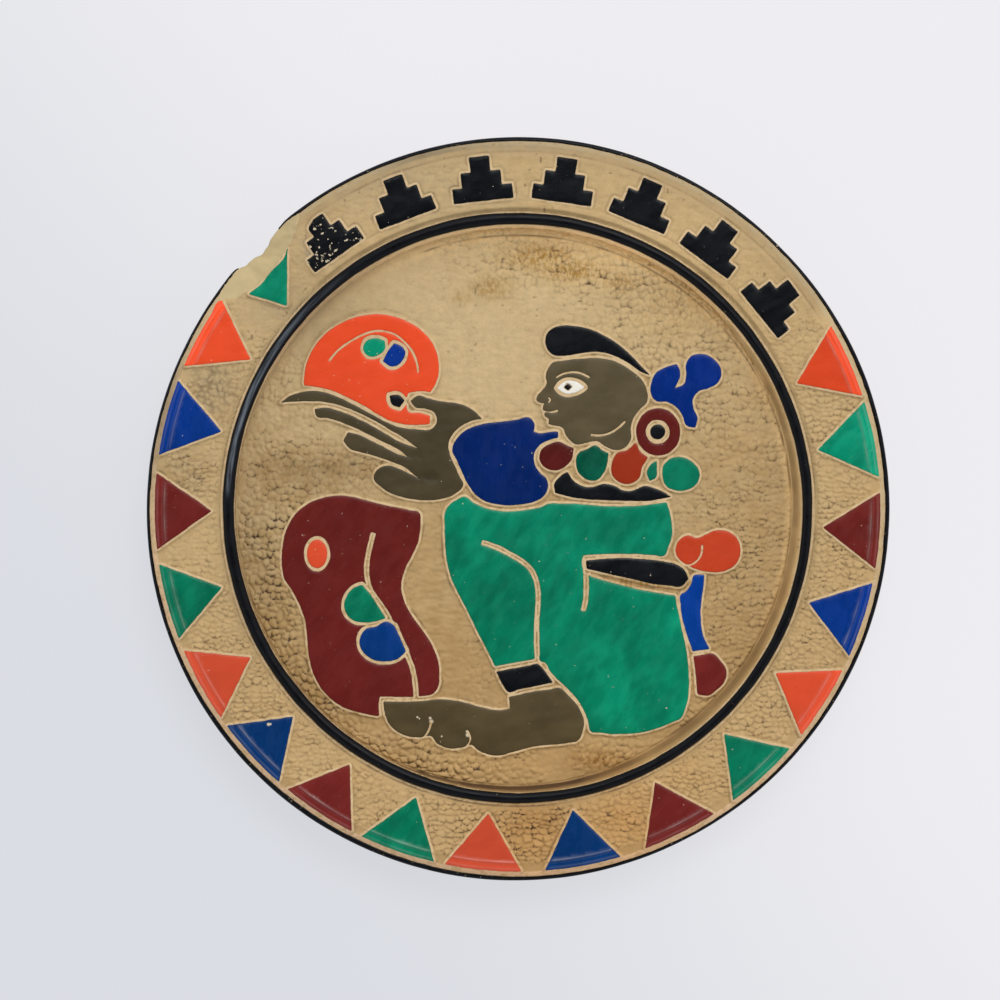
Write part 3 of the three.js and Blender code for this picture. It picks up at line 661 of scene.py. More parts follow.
def scoop_level(x, y):
    """The broken face of the chip, and far above the plate where there is none."""
    out = x * math.cos(CHIP_ANGLE) + y * math.sin(CHIP_ANGLE) - CHIP_CENTRE
    along = y * math.cos(CHIP_ANGLE) - x * math.sin(CHIP_ANGLE)
    half = np.where(along < 0, CHIP_UPPER_HALF, CHIP_LOWER_HALF)
    share = 1 - (out / CHIP_REACH) ** 2 - (along / half) ** 2
    share = share + 0.05 * noise(x, y, 6.0, 31) + 0.03 * noise(x, y, 1.9, 32)
    at, wide, extra = CHIP_BITE
    dug = CHIP_DEPTH * (1 - 0.36 * smooth_step(1, 9, along)) + extra * ridge(along - at, wide)
    dug = dug + 0.35 * noise(x, y, 4.0, 33)
    level = CHIP_TOP - dug * np.sqrt(np.clip(share, 0, 1)) + 0.05 * noise(x, y, 2.2, 34)
    return np.where(share > 0, level, 99.0)


def island_level(x, y, relief):
    """The level of the old surface that carries the paint."""
    radius = np.hypot(x, y)
    return dish_level(radius) + relief * (1 - smooth_step(*RELIEF_FADE, radius)) + lip_ridges(radius, x, y)


def ground_state(x, y, radius):
    """How pebbled, brushed and dirty the ground is at each point, and how much it is the blocks' ground."""
    on_rim = radius > WALL_TOP
    state = [np.where(on_rim, rim, well) for well, rim in zip(WELL_GROUND, RIM_GROUND)]
    for patches, where in ((PATCHES, ~on_rim), (RIM_PATCHES, on_rim)):
        for patch in patches:
            off = off_place(x, y, *patch[:4])
            weight = np.where(where, np.exp(-off * off), 0)
            state = [now + (value - now) * weight for now, value in zip(state, patch[4:])]
    angle = np.degrees(np.arctan2(y, x))
    blocks = on_rim * smooth_step(*BLOCKS_FROM, angle) * (1 - smooth_step(*BLOCKS_TO, angle))
    state = [now + (value - now) * blocks for now, value in zip(state, BLOCK_GROUND)]
    return *state, blocks


def cut_depth(radius, x, y):
    """The depth of the lines cut round the plate."""
    angle = np.degrees(np.arctan2(y, x))
    depth = np.zeros(len(radius))
    for at, first, last, half_width, deep in CUT_LINES:
        if last - first < 360:
            past = (angle - first) % 360
            span = last - first
            present = smooth_step(0, LINE_FADE, past) * (1 - smooth_step(span - LINE_FADE, span, past))
        else:
            present = 1.0
        wander = at + 0.12 * noise(x, y, 14.0, int(at))
        strength = np.clip(0.75 + 0.6 * noise(x, y, 6.0, int(at) + 1), 0, 1.2)
        depth = np.maximum(depth, deep * strength * present * ridge(radius - wander, half_width))
    return depth


def scribed_depth(x, y, beyond):
    """Thin lines that follow the painted outlines at a distance."""
    depth = np.zeros(len(x))
    for *place, away, deep in SCRIBED:
        off = off_place(x, y, *place)
        wander = away + 0.25 * noise(x, y, 7.0, 45)
        strength = deep * (1 - smooth_step(0.75, 1.15, off)) * np.clip(0.8 + 0.7 * noise(x, y, 4.0, 46), 0, 1)
        depth = np.maximum(depth, strength * ridge(beyond - wander, 0.27))
    return depth


def tooling_share(radius, beyond, foot):
    """1 where the tool's marks show, and 0 beside the paint, on the wall and near the rim's borders."""
    last = foot - 0.8
    beside_paint = smooth_step(-0.1, 0.6, beyond)
    on_rim = smooth_step(*RIM_TOOLING, radius)
    in_well = 1 - smooth_step(last, last + 0.9, radius)
    share = beside_paint * np.where(radius > WALL_TOP, on_rim, in_well)
    return share * (1 - smooth_step(*LIP_TOOLING, radius))


def tool_marks(x, y, on_rim, size):
    """The height of the tool's marks, how dark a point is made in a crevice, as dirt and painted shade, and
    how much dirt crevices hold.
    """
    bend_x = x + 1.3 * noise(x, y, 7.0, 11) + 0.4 * noise(x, y, 1.9, 12)
    bend_y = y + 1.3 * noise(x, y, 7.0, 13) + 0.4 * noise(x, y, 1.9, 14)
    round_height, round_crevice = pebbled(bend_x, bend_y, size, 21, 0.15)
    flat_height, flat_crevice = flaked(bend_x * 0.95, bend_y * 1.3, size, 25)
    scaled = smooth_step(*FLAKED_RIGHT, x) * (1 - smooth_step(*FLAKED_BELOW, y))
    flat = np.where(on_rim, 1 - 0.8 * blotches(x, y, ROUND_PLACES), scaled)
    height = round_height + (flat_height - round_height) * flat
    crevice = round_crevice + (flat_crevice - round_crevice) * flat
    dimpled = blotches(x, y, DIMPLED_PLACES)
    _, middle, _, own = pebble_cells(bend_x, bend_y, 0.75 * size, 27)
    between = smooth_step(0.1, 0.6, middle)
    height = height + (0.45 - 0.3 * between - height) * dimpled
    crevice = crevice + ((0.2 + 0.5 * own) * between - crevice) * dimpled
    held = np.clip(0.62 + 0.6 * noise(x, y, 6.0, 15) + 0.7 * noise(x, y, 2.3, 49), 0.05, 1.25)
    return height, crevice, held + (1 - held) * dimpled


def line_depth(x, y, radius, beyond, raised, blocks):
    """The depth of all the lines cut, scribed and scratched in the clay."""
    depth = cut_depth(radius, x, y) * (1 - raised)
    depth = np.maximum(depth, scribed_depth(x, y, beyond))
    scratched = np.clip(0.4 + 0.9 * noise(x, y, 5.0, 48), 0, 1)
    return np.maximum(depth, 0.22 * blocks * scratched * ridge(beyond - 0.5, 0.25))


def pit_share(x, y, radius, beyond, blocks):
    """1 in a small pit of the ground."""
    pitted = noise(x, y, 17.0, 42) + 0.35 * blocks
    pits = smooth_step(0.8, 0.95, noise(x, y, 1.6, 41)) * smooth_step(0.1, 0.6, pitted)
    return pits * smooth_step(0.8, 1.4, beyond) * (radius < PITTED_RADIUS)


def wall_dirt_and_shade(x, y, radius, foot):
    """How dark the well's wall is made: painted shade on its lower right, which faces away from the light,
    and dirt on its lower left.
    """
    up_wall = (dish_level(radius, foot) - FLOOR_LEVEL) / (RIM_LEVEL - FLOOR_LEVEL)
    on_wall = smooth_step(-0.01, 0.03, up_wall) * (1 - 0.5 * smooth_step(0.4, 1.0, up_wall))
    sides = 0.64 * facing(x, y, SOFT_SIDE) + 0.72 * facing(x, y, LONG_SIDE)
    return on_wall * (radius <= WALL_TOP) * (sides + 0.12 * noise(x, y, 5.0, 47))


def painted_light_and_paleness(x, y, radius, blocks):
    """How much paler the clay is than the rest, or darker, below zero: painted light by the wall's upper
    right, painted shade on the rim's outer stretch by the blocks, the darker places of the lip's outer ring,
    and the listed places.
    """
    wall = 0.4 * facing(x, y, PALE_SIDE) * smooth_step(110, 114, radius) * (radius <= WALL_TOP)
    paler = blotches(x, y, PALE_PLACES) + wall
    # Painted shade on the rim's outer stretch by the blocks, where it faces the light.
    paler = paler - 0.2 * blocks * smooth_step(143, 149, radius)
    return paler - blotches(x, y, DARK_LIP_PLACES) * smooth_step(150.4, 151.2, radius)


def bare_gap(x, y, radius, gap):
    """How far a point is from paint, or from the middle of a bare ring by the bead or the black edge."""
    soft_side = facing(x, y, SOFT_SIDE)
    # Away from the lower right and lower left the bare ring inside the bead is widened over the wall: painted
    # light, beyond the real cream line.
    narrowed = 0.78 * (1 - np.maximum(soft_side, facing(x, y, LONG_SIDE)))
    inner_off = np.abs(radius - INNER_RING - 0.5 * soft_side)
    inner_ring = 0.62 + np.clip(inner_off - narrowed, 0, None)
    outer_ring = 0.5 + np.abs(radius - OUTER_RING)
    lip_ring = 0.2 + 0.75 * np.abs(radius - LIP_RING)
    return np.minimum(np.minimum(gap, np.minimum(inner_ring, outer_ring)), lip_ring)


def clay_surface(x, y, gap, sizes):
    """The level of the carved clay at each point, and what its material has to know there."""
    radius = np.hypot(x, y)
    foot = wall_foot(x, y)
    pebbles, brushing, dirt, blocks = ground_state(x, y, radius)
    beyond = gap - line_width(x, y, sizes)
    raised = 1 - smooth_step(0, sizes.slope_run * MM, beyond)
    tooled = tooling_share(radius, beyond, foot)
    marks, crevice, held = tool_marks(x, y, radius > WALL_TOP, sizes.pebble_size * MM)
    strokes = noise(x, y * 3.0, 4.4, 16) + 0.6 * noise(x, y * 2.4, 2.0, 17)
    height = sizes.pebble_height * MM * (0.85 + 0.4 * noise(x, y, 8.0, 22))
    rise = sizes.ground_rise * MM
    relief = sizes.relief_depth * MM
    ground = tooled * (
        height * pebbles * marks
        + 0.3 * brushing * strokes
        + 0.07 * (0.4 + pebbles) * noise(x, y, 1.3, 18)
        + 0.1 * noise(x, y, 9.0, 19)
        + rise
        + (relief - rise - 0.12) * blocks
    )
    level = dish_level(radius, foot) + lip_ridges(radius, x, y) * raised
    level = level + relief * raised * (1 - smooth_step(*RELIEF_FADE, radius))
    level = level - UNDER_PAINT * smooth_step(0.4, 0.75, -gap)
    cut = line_depth(x, y, radius, beyond, raised, blocks)
    pits = pit_share(x, y, radius, beyond, blocks)
    level = level + (1 - raised) * ground - cut - 0.25 * pits + 0.04 * noise(x, y, 6.0, 20)
    broken = scoop_level(x, y)

    # Darkening at the foot of each slope beside the paint: dirt, and painted shade.
    slope_foot_dirt_and_shade = 0.7 * ridge(beyond - sizes.slope_run * MM, 0.4)
    # How dark the clay is made, layer by layer: dirt and painted shade in the tool's crevices, dirt and
    # painted shade at the foot of each slope, the cut lines, the pits, and the wall's dirt and painted shade.
    layers = (
        tooled * crevice * np.clip(pebbles * (0.9 + 0.9 * dirt), 0, 1.35) * held,
        slope_foot_dirt_and_shade * np.clip(0.2 + noise(x, y, 4.0, 43), 0, 1) * (0.35 + dirt),
        np.clip(cut / 0.35, 0, 1) * (0.75 - 0.25 * blocks),
        0.8 * pits,
        wall_dirt_and_shade(x, y, radius, foot),
    )
    attributes = {
        "gap": bare_gap(x, y, radius, gap),
        "dark": np.max(layers, axis=0),
        "dirt": dirt,
        "grey": blotches(x, y, GREY_PLACES),
        "stain": blotches(x, y, STAINS),
        "ochre": blotches(x, y, OCHRE_PLACES),
        "paler": painted_light_and_paleness(x, y, radius, blocks),
        "fresh": level - broken,
    }
    return np.minimum(level, broken), attributes


def line_width(x, y, sizes):
    """The width of the bare line round the paint, which a hand has carved."""
    return sizes.cream_line * MM * (1 + 0.16 * noise(x, y, 5.0, 61))


# Meshes


def even_points(reach, step):
    """Points over a square about the centre, in staggered rows, each a little out of its place."""
    rows = np.arange(-reach, reach, step * math.sqrt(3) / 2)
    columns = np.arange(-reach, reach, step)
    x, y = np.meshgrid(columns, rows)
    x = x + np.where(np.arange(len(rows)) % 2, step / 2, 0)[:, None]
    i, j = np.meshgrid(np.arange(len(columns)), np.arange(len(rows)))
    x = x + step * 0.3 * (hashed(i, j, 71) - 0.5)
    y = y + step * 0.3 * (hashed(i, j, 72) - 0.5)
    return np.column_stack([x.ravel(), y.ravel()])


def ring_points(radius, count):
    """Even points on a circle about the axis."""
    angle = np.arange(count) * 2 * math.pi / count
    return np.column_stack([radius * np.cos(angle), radius * np.sin(angle)])


def within(points, starts, ends):
    """Which points lie inside the closed lines that these edges make."""
    inside = np.zeros(len(points), bool)
    x, y = points.T
    for (x0, y0), (x1, y1) in zip(starts.tolist(), ends.tolist()):
        if y0 != y1:
            inside ^= ((y0 > y) != (y1 > y)) & (x < (x1 - x0) * (y - y0) / (y1 - y0) + x0)
    return inside


def filled(line, edges, inner):
    """Triangles that fill the closed lines through the inner points, and where each place came from."""
    points = np.vstack([line, inner]) if len(inner) else line
    spots = [Vector(point) for point in points.tolist()]
    found = delaunay_2d_cdt(spots, edges.tolist(), [], 0, SAME_POINT)
    places = np.array([spot[:] for spot in found[0]])
    triangles = np.array(found[2])
    source = np.array([min(origin) if origin else -1 for origin in found[3]])
    first, second, third = (places[triangles[:, k]] for k in range(3))
    double = (second - first)[:, 0] * (third - first)[:, 1] - (second - first)[:, 1] * (third - first)[:, 0]
    triangles = np.where((double < 0)[:, None], triangles[:, ::-1], triangles)
    on_line = source < len(line)
    doubtful = on_line[triangles].all(axis=1)
    keep = np.abs(double) > SAME_POINT
    keep[doubtful] &= within(places[triangles[doubtful]].mean(axis=1), line[edges[:, 0]], line[edges[:, 1]])
    return places, triangles[keep], source


def for_walls(attributes, rim):
    """A sheet's attributes, with its border's values again for the foot of its walls."""
    return {label: np.concatenate([values, values[rim]]) for label, values in attributes.items()}


def closed_sheet(places, triangles, level, underneath):
    """A closed body: the upper side, walls down from its border, and an underside that its border carries."""
    edges = border(triangles)
    rim, index = np.unique(edges, return_inverse=True)
    index = index.reshape(-1, 2)
    lower = index + len(places)
    walls = np.vstack([
        np.column_stack([edges[:, 0], lower[:, 0], lower[:, 1]]),
        np.column_stack([edges[:, 0], lower[:, 1], edges[:, 1]]),
    ])
    _, base, source = filled(places[rim], index, np.empty((0, 2)))
    base = source[base][:, ::-1] + len(places)
    points = np.vstack([np.column_stack([places, level]), np.column_stack([places[rim], underneath[rim]])])
    return points, np.vstack([triangles, walls, base]), rim


def make_piece(name, points, triangles, material, replaced, attributes=()):
    """A mesh piece from points in millimetres, in the frame and riding on the plate."""
    mesh = bpy.data.meshes.new(name)
    mesh.vertices.add(len(points))
    mesh.vertices.foreach_set("co", (points / MM).astype(np.float32).ravel())
    mesh.loops.add(3 * len(triangles))
    mesh.loops.foreach_set("vertex_index", triangles.astype(np.int32).ravel())
    mesh.polygons.add(len(triangles))
    mesh.polygons.foreach_set("loop_start", np.arange(0, 3 * len(triangles), 3, dtype=np.int32))
    mesh.polygons.foreach_set("use_smooth", np.ones(len(triangles), bool))
    for label, values in dict(attributes).items():
        layer = mesh.attributes.new(label, "FLOAT", "POINT")
        layer.data.foreach_set("value", np.asarray(values, np.float32))
    mesh.update(calc_edges=True)
    mesh.materials.append(material)
    piece = bpy.data.objects.new(name, mesh)
    bpy.context.scene.collection.objects.link(piece)
    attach(piece, "root")
    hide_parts(*replaced)


def turned_mesh(profile, count, waver=None):
    """A closed profile of radii and levels, turned about the axis."""
    angle = np.arange(count) * 2 * math.pi / count
    rows = len(profile)
    radius = np.repeat(profile[:, 0][None, :], count, axis=0)
    level = np.repeat(profile[:, 1][None, :], count, axis=0)
    if waver is not None:
        radius, level = waver(radius, level, angle[:, None])
    points = np.stack([radius * np.cos(angle)[:, None], radius * np.sin(angle)[:, None], level], axis=-1)
    here = np.arange(count)[:, None] * rows + np.arange(rows)[None, :]
    right = np.roll(here, -1, axis=0)
    up = np.roll(here, -1, axis=1)
    both = np.roll(right, -1, axis=1)
    triangles = np.vstack([
        np.column_stack([here.ravel(), right.ravel(), both.ravel()]),
        np.column_stack([here.ravel(), both.ravel(), up.ravel()]),
    ])
    return points.reshape(-1, 3), triangles


def edge_loop():
    """The plate's outer edge seen from above, with the bite of the chip, and the level of each point."""
    angle = np.arange(EDGE_POINTS) * 2 * math.pi / EDGE_POINTS
    radius = np.linspace(EDGE_CENTRE + EDGE_RADIUS, 140, 700)
    reach = np.full(EDGE_POINTS, EDGE_CENTRE + EDGE_RADIUS)
    level = np.full(EDGE_POINTS, EDGE_CENTRE_LEVEL)
    for i in np.flatnonzero(in_chip(angle)):
        x = radius * math.cos(angle[i])
        y = radius * math.sin(angle[i])
        above = np.minimum(dish_level(radius), scoop_level(x, y))
        below = rim_underside(radius)
        standing = np.flatnonzero(above > below + 0.02)
        if standing[0] > 0:
            reach[i] = radius[standing[0]]
            level[i] = below[standing[0]]
    return np.column_stack([reach * np.cos(angle), reach * np.sin(angle)]), level


def in_chip(angle):
    """Which angles lie within the chip's reach round the edge."""
    degrees = np.degrees(angle) % 360
    return (degrees > CHIP_ANGLES[0]) & (degrees < CHIP_ANGLES[1])


def rim_underside(radius):
    """The level of the rim's lower side, which is rounded up to the edge."""
    past = np.clip(radius - EDGE_CENTRE, 0, EDGE_RADIUS)
    return RIM_UNDERSIDE + EDGE_RADIUS - np.sqrt(EDGE_RADIUS**2 - past**2)


def inside_edge(points, outer, margin):
    """Which points lie inside the outer edge by more than a margin."""
    reach = np.hypot(*outer.T)
    turned = bearing(points) % (2 * math.pi) / (2 * math.pi) * len(outer)
    limit = np.interp(turned, np.arange(len(outer) + 1), np.append(reach, reach[0]))
    return np.hypot(*points.T) < limit - margin


def between_radii(points, low, high):
    """Which points lie in a ring about the axis."""
    radius = np.hypot(*points.T)
    return (radius > low) & (radius < high)


def carved_points(sizes, spacing, inner_radius, outer_radius):
    """Points over the clay: close where it shows, along the outlines, and sparse under the paint."""
    slope = sizes.slope_run * MM
    offsets = (0.0, 0.5 * slope, slope)
    contours = [(ALL_COATS.at + ALL_COATS.normal * away, away) for away in CONTOURS]
    width = line_width(ALL_COATS.at[:, 0], ALL_COATS.at[:, 1], sizes)
    for offset in offsets:
        contours.append((ALL_COATS.at + ALL_COATS.normal * (width + offset)[:, None], width + offset))
    kept = []
    for points, wanted in contours:
        chosen = between_radii(points, inner_radius, outer_radius)
        points = points[chosen]
        wanted = np.broadcast_to(wanted, len(chosen))[chosen]
        kept.append(points[ALL_COATS.gap(points) > wanted - CONTOUR_SLACK])
    grid = even_points(outer_radius, spacing)
    grid = grid[between_radii(grid, inner_radius, outer_radius)]
    gap = ALL_COATS.gap(grid)
    line = line_width(grid[:, 0], grid[:, 1], sizes)
    clear = (gap > OFF_PAINT) & (np.abs(gap - line) > OFF_LINE)
    for offset in offsets[1:]:
        clear &= np.abs(gap - line - offset) > OFF_SLOPE
    kept.append(grid[clear])
    sparse = even_points(outer_radius, SPARSE_STEP)
    sparse = sparse[between_radii(sparse, inner_radius, outer_radius)]
    kept.append(sparse[ALL_COATS.gap(sparse) < HIDDEN])
    return np.vstack(kept)


def clay_well(sizes, material):
    """The well's carved ground and its wall, down to the base."""
    outer = ring_points(SPLIT_RADIUS, SEAM_POINTS)
    first = WALL_FOOT - FOOT_IN - 0.2
    across_wall = np.arange(first, SPLIT_RADIUS - 0.2, WALL_STEP)
    rings = [ring_points(radius, WALL_POINTS) for radius in across_wall]
    carved = carved_points(sizes, sizes.well_step * MM, -1, first - CLEARANCE)
    places, triangles, _ = filled(outer, loop_edges([outer]), np.vstack([*rings, carved]))
    level, attributes = clay_surface(*places.T, ALL_COATS.gap(places), sizes)
    underneath = np.full(len(places), PLUG_LEVEL)
    points, triangles, rim = closed_sheet(places, triangles, level, underneath)
    make_piece("clay_well", points, triangles, material, ["plate_body"], for_walls(attributes, rim))


def clay_rim(sizes, material):
    """The rim's carved ground and its lip, its underside, and a wall under the bead that joins the two."""
    outer, outer_level = edge_loop()
    inner = ring_points(SPLIT_RADIUS, SEAM_POINTS)
    line = np.vstack([outer, inner])
    edges = loop_edges([outer, inner])
    rounded = [EDGE_CENTRE + EDGE_RADIUS * math.cos(lean) for lean in np.radians(ROUND_ROWS)]
    rings = np.vstack([ring_points(radius, ROUND_POINTS) for radius in rounded])
    rings = rings[~in_chip(bearing(rings))]
    carved = carved_points(sizes, sizes.rim_step * MM, SPLIT_RADIUS + CLEARANCE, EDGE_CENTRE + 0.2)
    broken = even_points(EDGE_CENTRE + EDGE_RADIUS, BROKEN_STEP)
    broken = broken[(np.hypot(*broken.T) > EDGE_CENTRE + CLEARANCE) & in_chip(bearing(broken))]
    broken = broken[inside_edge(broken, outer, CLEARANCE)]
    across = np.vstack([rings, carved, broken])
    across = across[inside_edge(across, outer, 0.04)]
    places, triangles, source = filled(line, edges, across)
    level, attributes = clay_surface(*places.T, ALL_COATS.gap(places), sizes)
    on_outer = (source >= 0) & (source < len(outer))
    level[on_outer] = outer_level[source[on_outer]]
    on_inner = (source >= len(outer)) & (source < len(line))
    level[on_inner] = RIM_LEVEL

    # The underside shares the outer edge's points
    across_flat = np.arange(SPLIT_RADIUS + 2, EDGE_CENTRE + 0.2, UNDER_STEP)
    flat = [ring_points(radius, UNDER_POINTS) for radius in across_flat]
    below = np.vstack([ring_points(radius, ROUND_UNDER_POINTS) for radius in rounded] + flat)
    below = below[inside_edge(below, outer, CLEARANCE)]
    low_places, low_triangles, low_source = filled(line, edges, below)
    low_level = rim_underside(np.hypot(*low_places.T))
    top_number = np.full(len(line), -1)
    on_line = on_outer | on_inner
    top_number[source[on_line]] = np.flatnonzero(on_line)
    number = np.arange(len(low_places)) + len(places)
    low_outer = (low_source >= 0) & (low_source < len(outer))
    number[low_outer] = top_number[low_source[low_outer]]
    low_number = np.full(len(line), -1)
    low_inner = (low_source >= len(outer)) & (low_source < len(line))
    low_number[low_source[low_inner]] = number[low_inner]
    ring = np.arange(len(outer), len(line))
    onward = np.roll(ring, -1)
    wall = np.vstack([
        np.column_stack([top_number[ring], top_number[onward], low_number[onward]]),
        np.column_stack([top_number[ring], low_number[onward], low_number[ring]]),
    ])
    points = np.vstack([np.column_stack([places, level]), np.column_stack([low_places, low_level])])
    triangles = np.vstack([triangles, number[low_triangles][:, ::-1], wall])
    used, index = np.unique(triangles, return_inverse=True)
    plain = {"gap": 9.0, "dirt": 0.2, "fresh": -9.0}
    attributes = {
        label: np.concatenate([values, np.full(len(low_places), plain.get(label, 0.0))])[used]
        for label, values in attributes.items()
    }
    make_piece("clay_rim", points[used], index.reshape(-1, 3), material, ["plate_body"], attributes)


def clay_base(material):
    """The underside of the dish, with the rings that turning leaves."""
    under = np.concatenate([np.arange(HUB_RADIUS, BASE_RADIUS, BASE_STEP), [BASE_RADIUS]])
    level = UNDERSIDE_LEVEL + 0.05 * noise(under, under * 0, 2.3, 81)
    level = level + 0.04 * noise(under, under * 0, 7.0, 82)
    shoulder = np.linspace(0, 1, 24)[1:]
    slope = BASE_RADIUS + (SHOULDER_RADIUS - BASE_RADIUS) * shoulder
    rounded = 0.5 * shoulder + 0.5 * smooth_step(0, 1, shoulder)
    rise = UNDERSIDE_LEVEL + (RIM_UNDERSIDE - UNDERSIDE_LEVEL) * rounded
    profile = np.vstack([
        np.column_stack([under, level]),
        np.column_stack([slope, rise]),
        [[SPLIT_RADIUS, RIM_UNDERSIDE], [SPLIT_RADIUS, PLUG_LEVEL], [HUB_RADIUS, PLUG_LEVEL]],
    ])
    points, triangles = turned_mesh(profile, BASE_POINTS)
    make_piece("clay_base", points, triangles, material, ["plate_body"])


def build_coat(node, material, sizes, tone):
    """A painted coat on its island: rounded at its border, creased on the lip and broken off at the chip."""
    loops = COAT_LOOPS[node]
    own = Outlines(loops)
    line = np.vstack(loops)
    centre = (line.max(axis=0) + line.min(axis=0)) / 2
    reach = float(np.max(line.max(axis=0) - centre)) + 1
    edges = loop_edges(loops)
    inner = []
    for offset in COAT_ROWS:
        points = line - own.normal * offset
        inner.append(points[np.abs(own.gap(points)) > offset - 0.05])
    grid = even_points(reach, sizes.coat_step * MM) + centre
    if node.startswith("rim_triangle"):
        arcs = np.vstack([ring_points(radius, CREASE_POINTS) for radius in CREASE_RINGS])
        inner.append(arcs[np.abs(own.gap(arcs)) > CLEARANCE])
        grid = grid[np.hypot(*grid.T) < CREASE_RINGS[0] - 0.4]
    inner.append(grid[np.abs(own.gap(grid)) > COAT_ROWS[-1] + 0.4 * sizes.coat_step * MM])
    for at_x, at_y, size in FLECKS:
        rings = [ring_points(size * share, 12) for share in (0.3, 0.65, 1.0, 1.4)]
        spots = np.vstack(rings) + (at_x, at_y)
        inner.append(spots[np.abs(own.gap(spots)) > 0.15])
    inner = np.vstack(inner)
    inner = inner[(np.abs(inner - centre) < reach).all(axis=1)]
    inner = inner[within(inner, line[edges[:, 0]], line[edges[:, 1]])]
    places, triangles, _ = filled(line, edges, inner)
    x, y = places.T
    inset = np.maximum(-own.gap(places), 0)
    carried = island_level(x, y, sizes.relief_depth * MM)
    broken = scoop_level(x, y)
    body = sizes.coat_thickness * MM * (0.3 + 0.7 * (1 - np.exp(-inset / 0.28)))
    body = body + 0.05 * noise(x, y, 5.5, 91) + 0.03 * noise(x, y, 2.1, 92)
    radius = np.hypot(x, y)
    # A pale line along the lip's ridges: worn paint, and a painted highlight.
    crest_wear_and_highlight = ridge(radius - CREST_RADIUS, 0.32) + 0.5 * ridge(radius - SECOND_CREST, 0.3)
    crest_wear_and_highlight = crest_wear_and_highlight * np.clip(0.7 + 0.6 * noise(x, y, 6.0, 93), 0.1, 1) * smooth_step(0.2, 1.2, inset)
    # Painted light: a coat is made brighter on the lip's slope beyond the crease.
    tone = tone + 0.22 * smooth_step(*LIP_BRIGHT, radius) + blotches(x, y, BRIGHT_PLACES)
    level = np.minimum(carried + np.maximum(body, 0.08), broken + 0.15)
    underneath = np.minimum(carried, broken) - SKIRT
    points, triangles, rim = closed_sheet(places, triangles, level, underneath)
    fleck = np.zeros(len(places))
    for at_x, at_y, size in FLECKS:
        fleck = np.maximum(fleck, 1 - smooth_step(0.7, 1.15, np.hypot(x - at_x, y - at_y) / size))
    worn = np.full(len(places), WORN.get(node, 0.0))
    attributes = {"inset": inset, "tone": tone, "crest_wear_and_highlight": crest_wear_and_highlight, "fleck": fleck, "worn": worn}
    make_piece(f"{node}_coat", points, triangles, material, [node], for_walls(attributes, rim))


def wavered(radius, level, angle):
    """The unevenness of a bead that was laid by hand."""
    x = BEAD_NOISE * np.cos(angle)
    y = BEAD_NOISE * np.sin(angle)
    degrees, shift, width = np.array(BEAD_DRIFT).T
    lean = by_bearing(angle, degrees, shift) + 0.09 * noise(x, y, 11.0, 101) + 0.05 * noise(x, y, 3.0, 102)
    swell = by_bearing(angle, degrees, width) + 0.05 * noise(x, y, 7.0, 103)
    middle = radius.mean()
    uneven = RIM_LEVEL + (level - RIM_LEVEL) * (1 + 0.04 * noise(x, y, 6.0, 104))
    return middle + (radius - middle) * swell + lean, np.where(level > RIM_LEVEL, uneven, level)


def edge_band():
    """A thin band over the rounded edge. Its upper border wanders, and it stops where the chip has cut it."""
    around = np.arange(BAND_POINTS) * 2 * math.pi / BAND_POINTS
    steps = np.radians(np.arange(-50, 60, 1.0))
    x, y = ring_points(BAND_NOISE, BAND_POINTS).T
    full = by_bearing(around, *np.array(EDGE_THICKNESS).T) + 0.05 * noise(x, y, 11.0, 114)
    top = BAND_TOP + 0.09 * noise(x, y, 13.0, 111) + 0.06 * noise(x, y, 3.0, 112)
    for i in np.flatnonzero(in_chip(around)):
        radius = EDGE_CENTRE + EDGE_RADIUS * np.cos(steps)
        level = EDGE_CENTRE_LEVEL + EDGE_RADIUS * np.sin(steps)
        cut = level > scoop_level(radius * math.cos(around[i]), radius * math.sin(around[i])) - 0.05
        if cut.any():
            top[i] = min(top[i], steps[np.argmax(cut)])
    bottom = BAND_BOTTOM + 0.05 * noise(x, y, 8.0, 113)
    present = np.flatnonzero(top > bottom + 0.25)
    after_chip = np.flatnonzero(np.diff(present) > 1)[0] + 1
    order = np.roll(present, -after_chip)
    share = np.linspace(0, 1, 11)
    rows = []
    for i in order:
        angle = bottom[i] + (top[i] - bottom[i]) * share
        thick = 0.06 + full[i] * np.clip(np.sin(np.pi * share) * 2.0, 0, 1)
        away = np.concatenate([EDGE_RADIUS + thick, np.full(6, EDGE_RADIUS - BAND_SUNK)])
        lean = np.concatenate([angle, angle[::-2]])
        radius = EDGE_CENTRE + away * np.cos(lean)
        level = EDGE_CENTRE_LEVEL + away * np.sin(lean)
        rows.append(np.column_stack([radius * math.cos(around[i]), radius * math.sin(around[i]), level]))
    wide = len(rows[0])
    points = np.vstack(rows)
    here = np.arange(len(rows) - 1)[:, None] * wide + np.arange(wide)[None, :]
    up = np.roll(here, -1, axis=1)
    triangles = [
        np.column_stack([here.ravel(), (here + wide).ravel(), (up + wide).ravel()]),
        np.column_stack([here.ravel(), (up + wide).ravel(), up.ravel()]),
    ]
    fan = np.arange(1, wide - 1)
    triangles.append(np.column_stack([np.zeros(wide - 2, int), fan, fan + 1]))
    last = (len(rows) - 1) * wide
    triangles.append(np.column_stack([np.zeros(wide - 2, int), fan + 1, fan]) + last)
    return points, np.vstack(triangles)


# Materials


PALE_SPECK = srgb(204, 190, 164)  # where a coat has lost a speck
CREST_WEAR_AND_HIGHLIGHT = srgb(226, 222, 216)  # where it is rubbed along the lip's ridges, with a painted highlight there
ROUND_BLACK = srgb(14, 15, 19)  # the bead and the edge
RUBBED_SHEEN_GREY = srgb(104, 111, 120)  # where the bead is painted with a grey sheen, a painted reflection with some rubbed wear
CHIPPED_BLACK = srgb(176, 160, 130)  # where they have lost a speck


